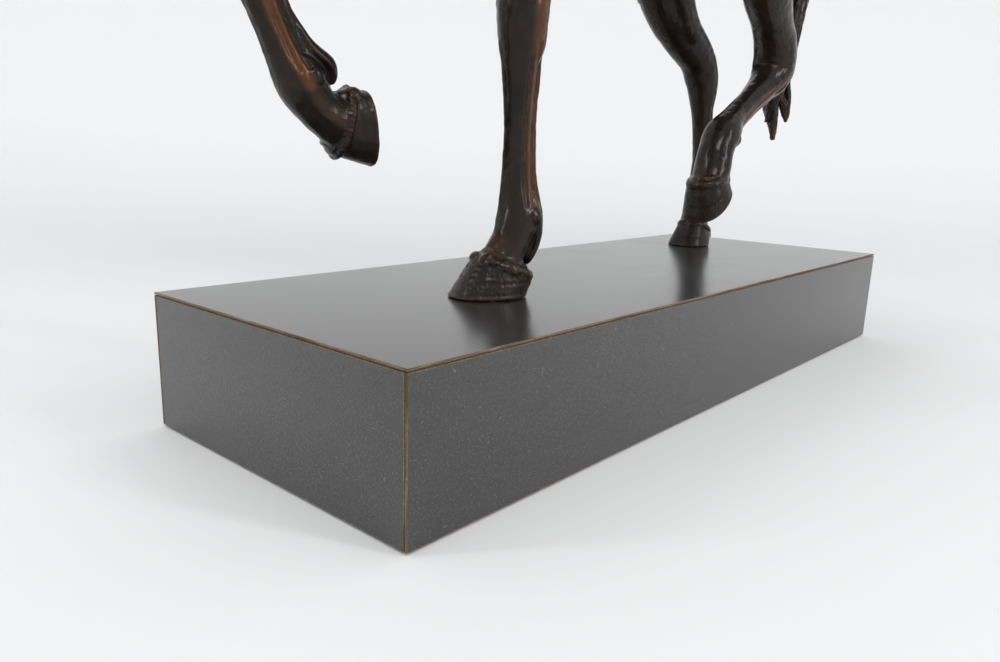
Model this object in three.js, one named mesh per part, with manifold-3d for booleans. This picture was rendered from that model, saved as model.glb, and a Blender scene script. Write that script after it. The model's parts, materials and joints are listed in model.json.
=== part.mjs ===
// Bronze horse at the trot on a laminate-clad plinth.
// Millimetres, +Z up, origin at the centre of the plinth's felt underside.
// The horse faces -X and its left side faces -Y.

import * as THREE from 'three';
import { mergeVertices } from 'three/addons/utils/BufferGeometryUtils.js';
import Module from 'manifold-3d';

const wasm = await Module();
wasm.setup();

// ---- Driving dimensions -------------------------------------------------

const FIT = 0.3;                 // clearance between pieces that touch

const PLINTH_LENGTH = 444;
const PLINTH_WIDTH = 160;
const PLINTH_HEIGHT = 60;
const LAMINATE = 1.0;            // thickness of the plastic laminate sheets
const SIDES_LIFT = 1.0;          // the sides stop this far above the shelf
const FELT_THICKNESS = 0.7;
const FELT_INSET = 7;
const BOARD = 18;                // thickness of the top board and the rails
const PANEL_THICKNESS = 6;
const BLOCK = 26;                // glue blocks are this wide each way

const SCREW_RADIUS = 1.75;
const SCREW_HEAD_RADIUS = 3.5;
const SCREW_HEAD_HEIGHT = 2.4;
const SCREW_LENGTH = 20;
const SCREW_TIP = 3;             // length of the screw's point
const SCREW_SUNK = 0.4;

const STUD_RADIUS = 3;
const STUD_IN_HOOF = 11;
const STUD_LENGTH = 42;
const WASHER_RADIUS = 9;
const WASHER_THICKNESS = 1.6;
const NUT_RADIUS = 5.77;         // across corners, halved
const NUT_HEIGHT = 5;
const BOARD_HOLE_SLACK = 0.5;    // the board's stud holes are this much wider than the studs

const WALL = 4;                  // bronze wall of the hollow castings
const SLEEVE_WALL = 3;
const SPIGOT_LENGTH = 13;
const SPIGOT_WALL = 4.6;         // metal left round a spigot's socket
const SPIGOT_ROOT = 2;           // the spigot starts this far inside the lower leg
const PIN_RADIUS = 1.25;
const BODY_SEAM_X = 40;          // where the two halves of the body meet

const HOOF_HALF_LENGTH = 18;
const HOOF_HALF_WIDTH = 14;
const CORONET_HALF_LENGTH = 12;
const CORONET_HALF_WIDTH = 11.2;
const CORONET_SETBACK = 7;       // the coronet's centre lies behind the sole's centre
const CORONET_HEIGHT = 13;       // at its middle
const CORONET_SLOPE = 4.4;       // rises by this to the front, falls by it to the heel

const LEG_SIDES = 16;
const BODY_SIDES = 24;
const NECK_SIDES = 20;
const ROD_SIDES = 12;
const OFF_CENTRE = 0.13;        // turns round sections so that edges don't fall exactly on each other

// A station of a limb or body is [x, y, z, front, back, side]: its centre, how far the
// section reaches in front of and behind the centre, and its half width. yaw is the
// angle by which a foot turns inwards.

const LEFT_FORE = {
  yaw: 20,
  upper: [
    [-92, -30, 345, 38, 40, 20],
    [-98, -37, 312, 33, 35, 20],
    [-103, -37, 282, 25, 29, 17.5],
    [-107, -33, 252, 18.5, 20, 15],
    [-108.5, -29, 224, 13.2, 13.6, 12],
    [-108.5, -26, 202, 11, 10.2, 10.6],
  ],
  lower: [
    [-108.5, -26, 202, 11, 10.2, 10.6],
    [-109, -24.5, 188, 11, 10.4, 11.4],
    [-109, -23.5, 176, 10.8, 10.4, 11.4],
    [-108, -22.6, 165, 9.6, 9.6, 10],
    [-106.5, -22, 152, 7.8, 8.2, 7.8],
    [-106, -21.5, 130, 6.6, 7.4, 6.2],
    [-105.3, -21, 112, 7.2, 8.4, 6.6],
    [-104.5, -20.5, 96, 9, 11, 9.2],
    [-107, -19.7, 86, 8.6, 9, 8.8],
    [-110.5, -18.6, 78, 9, 9, 9.2],
    [-112.5, -17.8, 69, 10, 10, 9.8],
  ],
  hoof: { sole: [-118, -16.3, 60 + FIT], pitch: 0 },
};

const RIGHT_FORE = {
  yaw: 20,
  upper: [
    [-96, 30, 350, 38, 40, 20],
    [-112, 37, 318, 33, 35, 20],
    [-132, 37, 290, 25, 28, 17.5],
    [-154, 33, 265, 18.5, 19, 15],
    [-177, 29, 242, 13.4, 13.4, 12],
    [-195, 26.5, 224, 11, 10.8, 10.8],
  ],
  lower: [
    [-195, 26.5, 224, 11, 10.8, 10.8],
    [-206, 25.5, 212, 11.4, 10.4, 12],
    [-209, 25, 200, 11.4, 10, 11.6],
    [-205, 25, 188, 9.2, 9.2, 9.2],
    [-199.5, 25, 176, 7.6, 8.2, 7],
    [-192, 25, 160, 7.2, 8.4, 6.8],
    [-184.5, 25, 147, 9.6, 10.4, 9.2],
    [-177, 25, 138, 8.8, 8.6, 8.8],
    [-168, 24.5, 132.5, 10, 9.4, 9.6],
    [-160, 24, 130, 10, 10, 9.8],
  ],
  hoof: { sole: [-148, 23, 129], pitch: 94 },
};

const RIGHT_HIND = {
  yaw: 0,
  upper: [
    [178, 26, 392, 44, 46, 26],
    [160, 38, 352, 52, 56, 27],
    [138, 44, 312, 47, 48, 25],
    [120, 46, 276, 36, 37, 23],
    [112, 44.5, 246, 26, 27, 19.5],
    [118, 41, 222, 20, 20, 16.5],
    [131, 37.5, 205, 15.5, 16, 13.5],
  ],
  lower: [
    [131, 37.5, 205, 15.5, 16, 13.5],
    [149, 34.5, 191, 12.8, 15, 11.8],
    [157, 33.3, 178, 11.4, 12.6, 11.6],
    [160, 32.4, 164, 9.4, 10, 9.4],
    [163, 32, 145, 8, 8.6, 7.8],
    [166, 31.5, 122, 7.8, 8.8, 7.6],
    [167, 31, 100, 10, 11.4, 10],
    [163.5, 30.6, 88, 9.2, 9.6, 9.4],
    [159.5, 30.3, 80, 9.2, 9.4, 9.6],
    [158, 30, 70, 10, 10, 9.8],
  ],
  hoof: { sole: [152, 30, 60 + FIT], pitch: 0 },
};

const LEFT_HIND = {
  yaw: 0,
  upper: [
    [172, -26, 392, 44, 46, 26],
    [145, -38, 352, 52, 56, 27],
    [118, -43, 316, 47, 48, 25],
    [97, -43, 282, 36, 37, 23],
    [88, -40, 252, 27, 22, 19],
    [98, -34.5, 226, 19, 13.5, 15.5],
    [120, -30, 208, 14, 13.5, 13],
  ],
  lower: [
    [120, -30, 208, 14, 13.5, 13],
    [135, -27.5, 194, 13, 15.5, 13.4],
    [139, -26, 181, 12.6, 15.8, 13.4],
    [131, -25.5, 170, 10.4, 11.4, 11],
    [113, -25.2, 158.5, 8.6, 9.2, 8.6],
    [95, -25, 148, 8.4, 9.2, 8.4],
    [79, -25, 137.5, 10.4, 11, 10.6],
    [72, -25, 127, 10, 10, 10.4],
    [69.5, -25, 117, 10.2, 10.2, 10.8],
    [67, -25, 106, 10, 10, 10],
  ],
  hoof: { sole: [64.5, -25, 96], pitch: 42 },
};

// The trunk runs from the breast to the buttocks: its sections are upright.
// Here front is the depth below the centre and back the height above it.
const TRUNK = [
  [-152, 0, 344, 26, 24, 28],
  [-142, 0, 344, 46, 44, 44],
  [-118, 0, 345, 68, 76, 54],
  [-86, 0, 348, 78, 97, 56],
  [-55, 0, 350, 80, 104, 57],
  [-20, 0, 352, 81, 95, 60],
  [10, 0, 354, 80, 86, 62],
  [BODY_SEAM_X, 0, 355, 78, 81, 63],
  [75, 0, 357, 75, 79, 63],
  [110, 0, 361, 71, 82, 62],
  [145, 0, 366, 66, 84, 62],
  [180, 0, 370, 64, 80, 61],
  [212, 0, 372, 58, 70, 56],
  [236, 0, 374, 44, 54, 44],
  [250, 0, 376, 24, 30, 24],
];

const NECK = [
  [-82, 0, 372, 62, 68, 34],
  [-118, 0, 396, 58, 58, 30],
  [-152, 0, 424, 48, 50, 25],
  [-182, 0, 456, 40, 42, 21],
  [-206, 0, 488, 34, 34, 18.5],
  [-226, 0, 512, 29, 28, 17],
];
const NECK_SEAM = 3;             // the neck casting ends and the head casting starts here

const HEAD = [
  [-224, 0, 521, 17, 20, 13],
  [-236, 0, 510, 24, 34, 19],
  [-249, 0, 491, 26, 37, 25],
  [-260, 0, 472, 24, 31, 22],
  [-270, 0, 452, 20, 22, 17],
  [-280, 0, 432, 17, 17, 14],
  [-288, 0, 416, 15, 15, 13.5],
  [-294, 0, 404, 9, 10, 9],
];

const EAR = [
  [0, 0, 0, 6.5, 6.5, 5.5],
  [-2, 0, 10, 6.5, 6, 5],
  [-4, 0, 20, 4.5, 4.5, 3.5],
  [-5, 0, 28, 0.8, 0.8, 0.8],
];
const EAR_ROOT = [-224, 9, 523];

const MANE = [
  [-70, 0, 452, 10, 4, 3],
  [-112, 0, 462, 13, 8, 5],
  [-148, 0, 482, 14, 9, 6],
  [-176, 0, 508, 13, 9, 6],
  [-200, 0, 531, 11, 8, 5.5],
  [-224, 0, 541, 6, 5, 4],
];

const TAIL = [
  [232, 0, 418, 10, 10, 11],
  [252, 0, 422, 11, 10, 12],
  [265, 2, 408, 13, 12, 14],
  [271, 4, 384, 14, 14, 17],
  [270, 7, 350, 15, 15, 18],
  [263, 10, 312, 15, 15, 19],
  [253, 13, 276, 15, 14, 20],
  [243, 14, 243, 14, 13, 20],
  [238, 13, 212, 12, 12, 19],
  [235, 11, 186, 10, 10, 15.5],
  [233, 9, 164, 8, 8, 11],
  [232, 7, 148, 5, 5, 7],
  [231.5, 6.5, 137, 2, 2, 2.5],
];

// ---- Materials ----------------------------------------------------------

const BRONZE = { color: 0x2b2019, roughness: 0.34, metalness: 0.9 };
const STEEL = { color: 0x8d8f92, roughness: 0.35, metalness: 1.0 };
const LAMINATE_LOOK = { color: 0x3c3d40, roughness: 0.42, metalness: 0.0 };
const FIBREBOARD = { color: 0x9a7b56, roughness: 0.9, metalness: 0.0 };
const SOFTWOOD = { color: 0xc49b66, roughness: 0.8, metalness: 0.0 };
const FELT_LOOK = { color: 0x20382b, roughness: 1.0, metalness: 0.0 };

const group = new THREE.Group();

function addPiece(name, geometry, look) {
  const mesh = new THREE.Mesh(geometry, new THREE.MeshStandardMaterial(look));
  mesh.name = name;
  group.add(mesh);
  return mesh;
}

// ---- Solids and booleans ------------------------------------------------

function solidOf(geometry) {
  const bare = geometry.clone();
  bare.deleteAttribute('normal');
  bare.deleteAttribute('uv');
  const merged = mergeVertices(bare, 1e-4);
  return new wasm.Manifold(new wasm.Mesh({
    numProp: 3,
    vertProperties: new Float32Array(merged.attributes.position.array),
    triVerts: new Uint32Array(merged.index.array),
  }));
}

function geometryOf(solid) {
  const mesh = solid.getMesh();
  const geometry = new THREE.BufferGeometry();
  geometry.setAttribute('position', new THREE.BufferAttribute(mesh.vertProperties, 3));
  geometry.setIndex(new THREE.BufferAttribute(mesh.triVerts, 1));
  return geometry;
}

function boxAt(low, high) {
  const size = high.map((value, axis) => value - low[axis]);
  const middle = high.map((value, axis) => (value + low[axis]) / 2);
  return new THREE.BoxGeometry(...size).translate(...middle);
}

function rodAt(start, end, radius, sides = ROD_SIDES) {
  const from = new THREE.Vector3(...start);
  const to = new THREE.Vector3(...end);
  const along = to.clone().sub(from);
  const rod = new THREE.CylinderGeometry(radius, radius, along.length(), sides).rotateY(OFF_CENTRE);
  const turn = new THREE.Quaternion().setFromUnitVectors(
    new THREE.Vector3(0, 1, 0),
    along.clone().normalize(),
  );
  rod.applyQuaternion(turn);
  const middle = from.add(to).multiplyScalar(0.5);
  return rod.translate(middle.x, middle.y, middle.z);
}

// ---- Lofts --------------------------------------------------------------

function centreOf(station) {
  return new THREE.Vector3(station[0], station[1], station[2]);
}

function tangentAt(stations, index) {
  const before = centreOf(stations[Math.max(index - 1, 0)]);
  const after = centreOf(stations[Math.min(index + 1, stations.length - 1)]);
  return after.sub(before).normalize();
}

// A closed body through the stations. The sections stand square to the centre line,
// or upright across X when upright is true. grow is added to every section's reach.
function loft(stations, { sides = LEG_SIDES, grow = 0, upright = false, tangents = null, yaw = 0 } = {}) {
  const steps = stations.length - 1;
  const turn = THREE.MathUtils.degToRad(yaw);
  const level = new THREE.Vector3(Math.sin(turn), Math.cos(turn), 0);
  const body = new THREE.CylinderGeometry(1, 1, 1, sides, steps);
  const position = body.attributes.position;
  for (let i = 0; i < position.count; i += 1) {
    const index = Math.round((0.5 - position.getY(i)) * steps);
    const [x, y, z, front, back, side] = stations[index];
    let along = upright ? new THREE.Vector3(1, 0, 0) : tangentAt(stations, index);
    if (tangents) {
      along = tangents[index];
    }
    const ahead = level.clone().cross(along).normalize();
    const across = along.clone().cross(ahead);
    const reach = position.getX(i) > 0 ? front + grow : back + grow;
    const point = new THREE.Vector3(x, y, z)
      .addScaledVector(ahead, position.getX(i) * reach)
      .addScaledVector(across, position.getZ(i) * (side + grow));
    position.setXYZ(i, point.x, point.y, point.z);
  }
  return body;
}

// Moves the end station outwards along the centre line, so that a cut passes it cleanly.
function extended(stations, atStart, atEnd) {
  const longer = stations.map((station) => [...station]);
  const last = longer.length - 1;
  const start = tangentAt(stations, 0);
  const end = tangentAt(stations, last);
  ['x', 'y', 'z'].forEach((axis, k) => {
    longer[0][k] -= start[axis] * atStart;
    longer[last][k] += end[axis] * atEnd;
  });
  return longer;
}

// ---- Plinth -------------------------------------------------------------

const HALF_LENGTH = PLINTH_LENGTH / 2;
const HALF_WIDTH = PLINTH_WIDTH / 2;
const TOP_UNDERSIDE = PLINTH_HEIGHT - LAMINATE;
const BOARD_TOP = TOP_UNDERSIDE - FIT;
const BOARD_UNDERSIDE = BOARD_TOP - BOARD;
const RAIL_TOP = BOARD_UNDERSIDE - FIT;
const CORE_X = HALF_LENGTH - LAMINATE - FIT;     // outside of the wooden core
const CORE_Y = HALF_WIDTH - LAMINATE - FIT;
const INSIDE_X = CORE_X - BOARD;                 // inside faces of the rails
const INSIDE_Y = CORE_Y - BOARD;

const STUD_SPOTS = [
  { name: 'left_fore', x: -116.5, y: -17 },
  { name: 'right_hind', x: 154, y: 30 },
];

function drilled(geometry, spots, radius, low, high) {
  let solid = solidOf(geometry);
  for (const spot of spots) {
    const drill = rodAt([spot.x, spot.y, low - 1], [spot.x, spot.y, high + 1], radius);
    solid = solid.subtract(solidOf(drill));
  }
  return geometryOf(solid);
}

function buildLaminates() {
  const top = boxAt([-HALF_LENGTH, -HALF_WIDTH, TOP_UNDERSIDE], [HALF_LENGTH, HALF_WIDTH, PLINTH_HEIGHT]);
  const stud = STUD_RADIUS + FIT;
  addPiece('laminate_top', drilled(top, STUD_SPOTS, stud, TOP_UNDERSIDE, PLINTH_HEIGHT), LAMINATE_LOOK);
  const sideTop = TOP_UNDERSIDE - FIT;
  const inner = HALF_WIDTH - LAMINATE;
  const left = boxAt([-HALF_LENGTH, -HALF_WIDTH, SIDES_LIFT], [HALF_LENGTH, -inner, sideTop]);
  const right = boxAt([-HALF_LENGTH, inner, SIDES_LIFT], [HALF_LENGTH, HALF_WIDTH, sideTop]);
  addPiece('laminate_left', left, LAMINATE_LOOK);
  addPiece('laminate_right', right, LAMINATE_LOOK);
  const end = inner - FIT;
  const endInner = HALF_LENGTH - LAMINATE;
  const front = boxAt([-HALF_LENGTH, -end, SIDES_LIFT], [-endInner, end, sideTop]);
  const rear = boxAt([endInner, -end, SIDES_LIFT], [HALF_LENGTH, end, sideTop]);
  addPiece('laminate_front', front, LAMINATE_LOOK);
  addPiece('laminate_rear', rear, LAMINATE_LOOK);
}

function buildCore() {
  const top = boxAt([-CORE_X, -CORE_Y, BOARD_UNDERSIDE], [CORE_X, CORE_Y, BOARD_TOP]);
  const clearance = STUD_RADIUS + BOARD_HOLE_SLACK;
  addPiece('top_board', drilled(top, STUD_SPOTS, clearance, BOARD_UNDERSIDE, BOARD_TOP), FIBREBOARD);
  const left = boxAt([-CORE_X, -CORE_Y, SIDES_LIFT], [CORE_X, -INSIDE_Y, RAIL_TOP]);
  const right = boxAt([-CORE_X, INSIDE_Y, SIDES_LIFT], [CORE_X, CORE_Y, RAIL_TOP]);
  addPiece('side_rail_left', left, FIBREBOARD);
  addPiece('side_rail_right', right, FIBREBOARD);
  const end = INSIDE_Y - FIT;
  addPiece('end_rail_front', boxAt([-CORE_X, -end, SIDES_LIFT], [-INSIDE_X, end, RAIL_TOP]), FIBREBOARD);
  addPiece('end_rail_rear', boxAt([INSIDE_X, -end, SIDES_LIFT], [CORE_X, end, RAIL_TOP]), FIBREBOARD);
}

// Six glue blocks, one in each inside corner and one in the middle of each side rail.
function blockSpots() {
  const spots = [];
  const y = INSIDE_Y - FIT - BLOCK / 2;
  const cornerX = INSIDE_X - FIT - BLOCK / 2;
  for (const [end, x] of [['front', -cornerX], ['middle', 0], ['rear', cornerX]]) {
    spots.push({ name: `${end}_left`, x, y: -y });
    spots.push({ name: `${end}_right`, x, y });
  }
  return spots;
}

const PANEL_TOP = SIDES_LIFT + PANEL_THICKNESS;
const BLOCK_BOTTOM = PANEL_TOP + FIT;
const SCREW_BOTTOM = SIDES_LIFT + SCREW_SUNK;    // the heads sit just below the panel's face

function screwProfile(grow) {
  const neck = SCREW_BOTTOM + SCREW_HEAD_HEIGHT;
  return new THREE.LatheGeometry([
    new THREE.Vector2(0, SCREW_BOTTOM - 4 * grow),
    new THREE.Vector2(SCREW_HEAD_RADIUS + grow, SCREW_BOTTOM - 4 * grow),
    new THREE.Vector2(SCREW_HEAD_RADIUS + grow, SCREW_BOTTOM + 0.1),
    new THREE.Vector2(SCREW_RADIUS + grow, neck),
    new THREE.Vector2(SCREW_RADIUS + grow, SCREW_BOTTOM + SCREW_LENGTH - SCREW_TIP),
    new THREE.Vector2(0, SCREW_BOTTOM + SCREW_LENGTH + grow),
  ], ROD_SIDES).rotateX(Math.PI / 2);
}

function buildClosing() {
  const spots = blockSpots();
  const panelX = INSIDE_X - FIT;
  const panelY = INSIDE_Y - FIT;
  const panel = boxAt([-panelX, -panelY, SIDES_LIFT], [panelX, panelY, PANEL_TOP]);
  let solid = solidOf(panel);
  for (const spot of spots) {
    const cutter = solidOf(screwProfile(FIT).translate(spot.x, spot.y, 0));
    solid = solid.subtract(cutter);
    const half = BLOCK / 2;
    const low = [spot.x - half, spot.y - half, BLOCK_BOTTOM];
    const high = [spot.x + half, spot.y + half, RAIL_TOP];
    addPiece(`block_${spot.name}`, geometryOf(solidOf(boxAt(low, high)).subtract(cutter)), SOFTWOOD);
    addPiece(`screw_${spot.name}`, screwProfile(0).translate(spot.x, spot.y, 0), STEEL);
  }
  addPiece('closing_panel', geometryOf(solid), SOFTWOOD);
  const feltX = HALF_LENGTH - FELT_INSET;
  const feltY = HALF_WIDTH - FELT_INSET;
  addPiece('felt_sheet', boxAt([-feltX, -feltY, 0], [feltX, feltY, FELT_THICKNESS]), FELT_LOOK);
}

function ringAt(x, y, low, high, outer, inner, sides) {
  const ring = solidOf(rodAt([x, y, low], [x, y, high], outer, sides));
  return geometryOf(ring.subtract(solidOf(rodAt([x, y, low - 1], [x, y, high + 1], inner))));
}

function buildFixings() {
  const washerTop = BOARD_UNDERSIDE - FIT;
  const nutTop = washerTop - WASHER_THICKNESS - FIT;
  for (const { name, x, y } of STUD_SPOTS) {
    const top = PLINTH_HEIGHT + STUD_IN_HOOF;
    addPiece(`stud_${name}`, rodAt([x, y, top - STUD_LENGTH], [x, y, top], STUD_RADIUS), STEEL);
    const bore = STUD_RADIUS + FIT;
    const washer = ringAt(x, y, washerTop - WASHER_THICKNESS, washerTop, WASHER_RADIUS, bore, 20);
    addPiece(`washer_${name}`, washer, STEEL);
    addPiece(`nut_${name}`, ringAt(x, y, nutTop - NUT_HEIGHT, nutTop, NUT_RADIUS, bore, 6), STEEL);
  }
}

// ---- Horse --------------------------------------------------------------

// The hoof flares from the sloping coronet to a flat sole. pitch turns the toe down.
function hoofSolid({ sole, pitch }, yaw) {
  const body = new THREE.CylinderGeometry(1, 1, 1, 20, 2).rotateY(OFF_CENTRE);
  const position = body.attributes.position;
  for (let i = 0; i < position.count; i += 1) {
    const ahead = position.getX(i);
    const across = position.getZ(i);
    const down = 0.5 - position.getY(i);
    const length = THREE.MathUtils.lerp(CORONET_HALF_LENGTH, HOOF_HALF_LENGTH, down);
    const width = THREE.MathUtils.lerp(CORONET_HALF_WIDTH, HOOF_HALF_WIDTH, down);
    const height = (1 - down) * (CORONET_HEIGHT + CORONET_SLOPE * ahead);
    const middle = (1 - down) * CORONET_SETBACK;
    position.setXYZ(i, middle - ahead * length, across * width, height);
  }
  body.rotateY(-THREE.MathUtils.degToRad(pitch));
  body.rotateZ(-THREE.MathUtils.degToRad(yaw));
  body.translate(...sole);
  return solidOf(body);
}

// A cross pin through a spigot joint, square to the limb and level.
function pinThrough(centre, halfLength, radius) {
  const { x, y, z } = centre;
  return rodAt([x, y - halfLength, z], [x, y + halfLength, z], radius);
}

function buildLeg(name, { yaw, upper, lower, hoof }, trunkClear, trunkHollows) {
  const last = upper.length - 1;
  const down = tangentAt([upper[last - 1], lower[0], lower[1]], 1);
  const joint = centreOf(lower[0]);
  const spigotRadius = Math.min(lower[0][3], lower[0][5]) - SPIGOT_WALL;
  const spigotTop = joint.clone().addScaledVector(down, -SPIGOT_LENGTH);
  const socketTop = joint.clone().addScaledVector(down, -SPIGOT_LENGTH - FIT);
  const pinCentre = joint.clone().addScaledVector(down, -SPIGOT_LENGTH / 2);
  const spigotRoot = joint.clone().addScaledVector(down, SPIGOT_ROOT);

  const upperTangents = upper.map((_, index) => (index === last ? down : tangentAt(upper, index)));
  const lowerTangents = lower.map((_, index) => (index === 0 ? down : tangentAt(lower, index)));
  const lowered = lower.map((station) => [...station]);
  const parted = joint.clone().addScaledVector(down, FIT);
  lowered[0] = [...parted.toArray(), ...lower[0].slice(3)];

  const hollowStations = upper.slice(0, last);
  const core = solidOf(loft(extended(hollowStations, 4, 0), { grow: -WALL }));
  const socket = solidOf(rodAt(socketTop.toArray(), spigotRoot.toArray(), spigotRadius + FIT));
  const pinHole = solidOf(pinThrough(pinCentre, 40, PIN_RADIUS + FIT));
  const whole = solidOf(loft(upper, { tangents: upperTangents }));
  const shell = whole.subtract(core).subtract(trunkClear).subtract(socket).subtract(pinHole);
  addPiece(`${name}_upper`, geometryOf(shell), BRONZE);
  trunkHollows.push(core);

  const spigot = solidOf(rodAt(spigotTop.toArray(), spigotRoot.toArray(), spigotRadius));
  let limb = solidOf(loft(lowered, { tangents: lowerTangents, yaw })).add(hoofSolid(hoof, yaw)).add(spigot);
  limb = limb.subtract(pinHole);
  const stud = STUD_SPOTS.find((spot) => spot.name === name);
  if (stud) {
    const top = PLINTH_HEIGHT + STUD_IN_HOOF + FIT;
    limb = limb.subtract(solidOf(rodAt([stud.x, stud.y, 50], [stud.x, stud.y, top], STUD_RADIUS + FIT)));
  }
  addPiece(`${name}_lower`, geometryOf(limb), BRONZE);
  const pinHalf = lower[0][5] - 1;
  addPiece(`pin_${name}`, pinThrough(pinCentre, pinHalf, PIN_RADIUS), STEEL);
}

// A short tube inside two neighbouring castings, which lines them up across their seam.
function sleeve(stations, options = {}) {
  const outer = solidOf(loft(stations, { ...options, grow: -WALL - FIT }));
  const bore = solidOf(loft(extended(stations, 2, 2), { ...options, grow: -WALL - SLEEVE_WALL }));
  return outer.subtract(bore);
}

// A section between two stations; share 0 is at the first and 1 at the second.
function sectionBetween(stations, first, second, share) {
  return stations[first].map((value, k) => THREE.MathUtils.lerp(value, stations[second][k], share));
}

function buildTrunk(hollows, openings) {
  const seam = TRUNK.findIndex((station) => station[0] === BODY_SEAM_X);
  const passages = [...hollows, ...openings];
  const frontStations = TRUNK.slice(0, seam + 1);
  const rearStations = TRUNK.slice(seam).map((station) => [...station]);
  rearStations[0][0] += FIT;
  const options = { sides: BODY_SIDES, upright: true };
  const parts = [['forequarters', frontStations, 1], ['hindquarters', rearStations, -1]];
  for (const [name, stations, open] of parts) {
    const inner = stations.map((station) => [...station]);
    inner[0][0] += open > 0 ? WALL : -2;
    inner[inner.length - 1][0] += open > 0 ? 2 : -WALL;
    const core = solidOf(loft(inner, { ...options, grow: -WALL }));
    let shell = solidOf(loft(stations, options)).subtract(core);
    for (const passage of passages) {
      shell = shell.subtract(passage);
    }
    addPiece(name, geometryOf(shell), BRONZE);
  }
  const before = sectionBetween(TRUNK, seam, seam - 1, 0.4);
  const after = sectionBetween(TRUNK, seam, seam + 1, 0.4);
  addPiece('sleeve_body', geometryOf(sleeve([before, TRUNK[seam], after], options)), BRONZE);
}

function buildNeckAndHead(trunkClear) {
  const lowerStations = NECK.slice(0, NECK_SEAM + 1);
  const upperStations = NECK.slice(NECK_SEAM).map((station) => [...station]);
  const along = tangentAt(NECK, NECK_SEAM);
  const tangents = NECK.map((_, index) => tangentAt(NECK, index));
  ['x', 'y', 'z'].forEach((axis, k) => {
    upperStations[0][k] += along[axis] * FIT;
  });
  const sides = NECK_SIDES;
  const core = solidOf(loft(NECK, { sides, grow: -WALL }));
  const mane = solidOf(loft(MANE, { sides: 10 }));
  const seamTangents = tangents.slice(0, NECK_SEAM + 1);
  const neck = solidOf(loft(lowerStations, { sides, tangents: seamTangents }));
  const upper = solidOf(loft(upperStations, { sides, tangents: tangents.slice(NECK_SEAM) }));
  const head = solidOf(loft(HEAD, { sides }));
  const headCore = solidOf(loft(HEAD.slice(1, -2), { sides, grow: -WALL - 1 }));

  let crown = upper.add(head);
  for (const side of [-1, 1]) {
    const ear = loft(EAR, { sides: 10 }).translate(EAR_ROOT[0], EAR_ROOT[1] * side, EAR_ROOT[2]);
    crown = crown.add(solidOf(ear));
  }
  const wide = 200;
  const seamPoint = centreOf(NECK[NECK_SEAM]);
  const beyond = new THREE.BoxGeometry(wide, wide, wide).translate(0, wide / 2, 0);
  const turn = new THREE.Quaternion().setFromUnitVectors(new THREE.Vector3(0, 1, 0), along);
  beyond.applyQuaternion(turn).translate(seamPoint.x, seamPoint.y, seamPoint.z);
  const farSide = solidOf(beyond);
  const farSideClear = solidOf(beyond.clone().translate(along.x * FIT, along.y * FIT, along.z * FIT));
  const maneHead = mane.intersect(farSideClear);
  const maneNeck = mane.subtract(farSide);

  crown = crown.add(maneHead).subtract(core).subtract(headCore);
  addPiece('head', geometryOf(crown), BRONZE);
  const neckShell = neck.add(maneNeck).subtract(core).subtract(trunkClear);
  addPiece('neck', geometryOf(neckShell), BRONZE);
  return core;
}

function buildTail(trunkClear, trunkHollows) {
  const tail = solidOf(loft(TAIL)).subtract(trunkClear);
  const [x, y, z] = TAIL[0];
  const dowelStart = [x - 6, y, z - 1];
  const dowelEnd = [x + 24, y, z + 4];
  const hole = solidOf(rodAt([x - 16, y, z - 2.7], [x + 24.6, y, z + 4.1], 3 + FIT));
  addPiece('tail', geometryOf(tail.subtract(hole)), BRONZE);
  addPiece('tail_dowel', rodAt(dowelStart, dowelEnd, 3), STEEL);
  trunkHollows.push(hole);
}

function buildHorse() {
  const trunkClear = solidOf(loft(TRUNK, { sides: BODY_SIDES, upright: true, grow: FIT }));
  const hollows = [];
  buildLeg('left_fore', LEFT_FORE, trunkClear, hollows);
  buildLeg('right_fore', RIGHT_FORE, trunkClear, hollows);
  buildLeg('left_hind', LEFT_HIND, trunkClear, hollows);
  buildLeg('right_hind', RIGHT_HIND, trunkClear, hollows);
  const neckCore = buildNeckAndHead(trunkClear);
  buildTail(trunkClear, hollows);
  buildTrunk(hollows, [neckCore]);
}

buildLaminates();
buildCore();
buildClosing();
buildFixings();
buildHorse();

export default group;
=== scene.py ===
"""Looks of the bronze trotting horse on its laminate-clad plinth.

Lengths in the tables are millimetres. Meshes are scaled to metres when a piece is finished.
"""

import json
import logging
import math
import random
from dataclasses import dataclass, field
from enum import Enum

import bmesh
import bpy
import numpy as np
from mathutils import Matrix, Vector, noise

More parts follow.
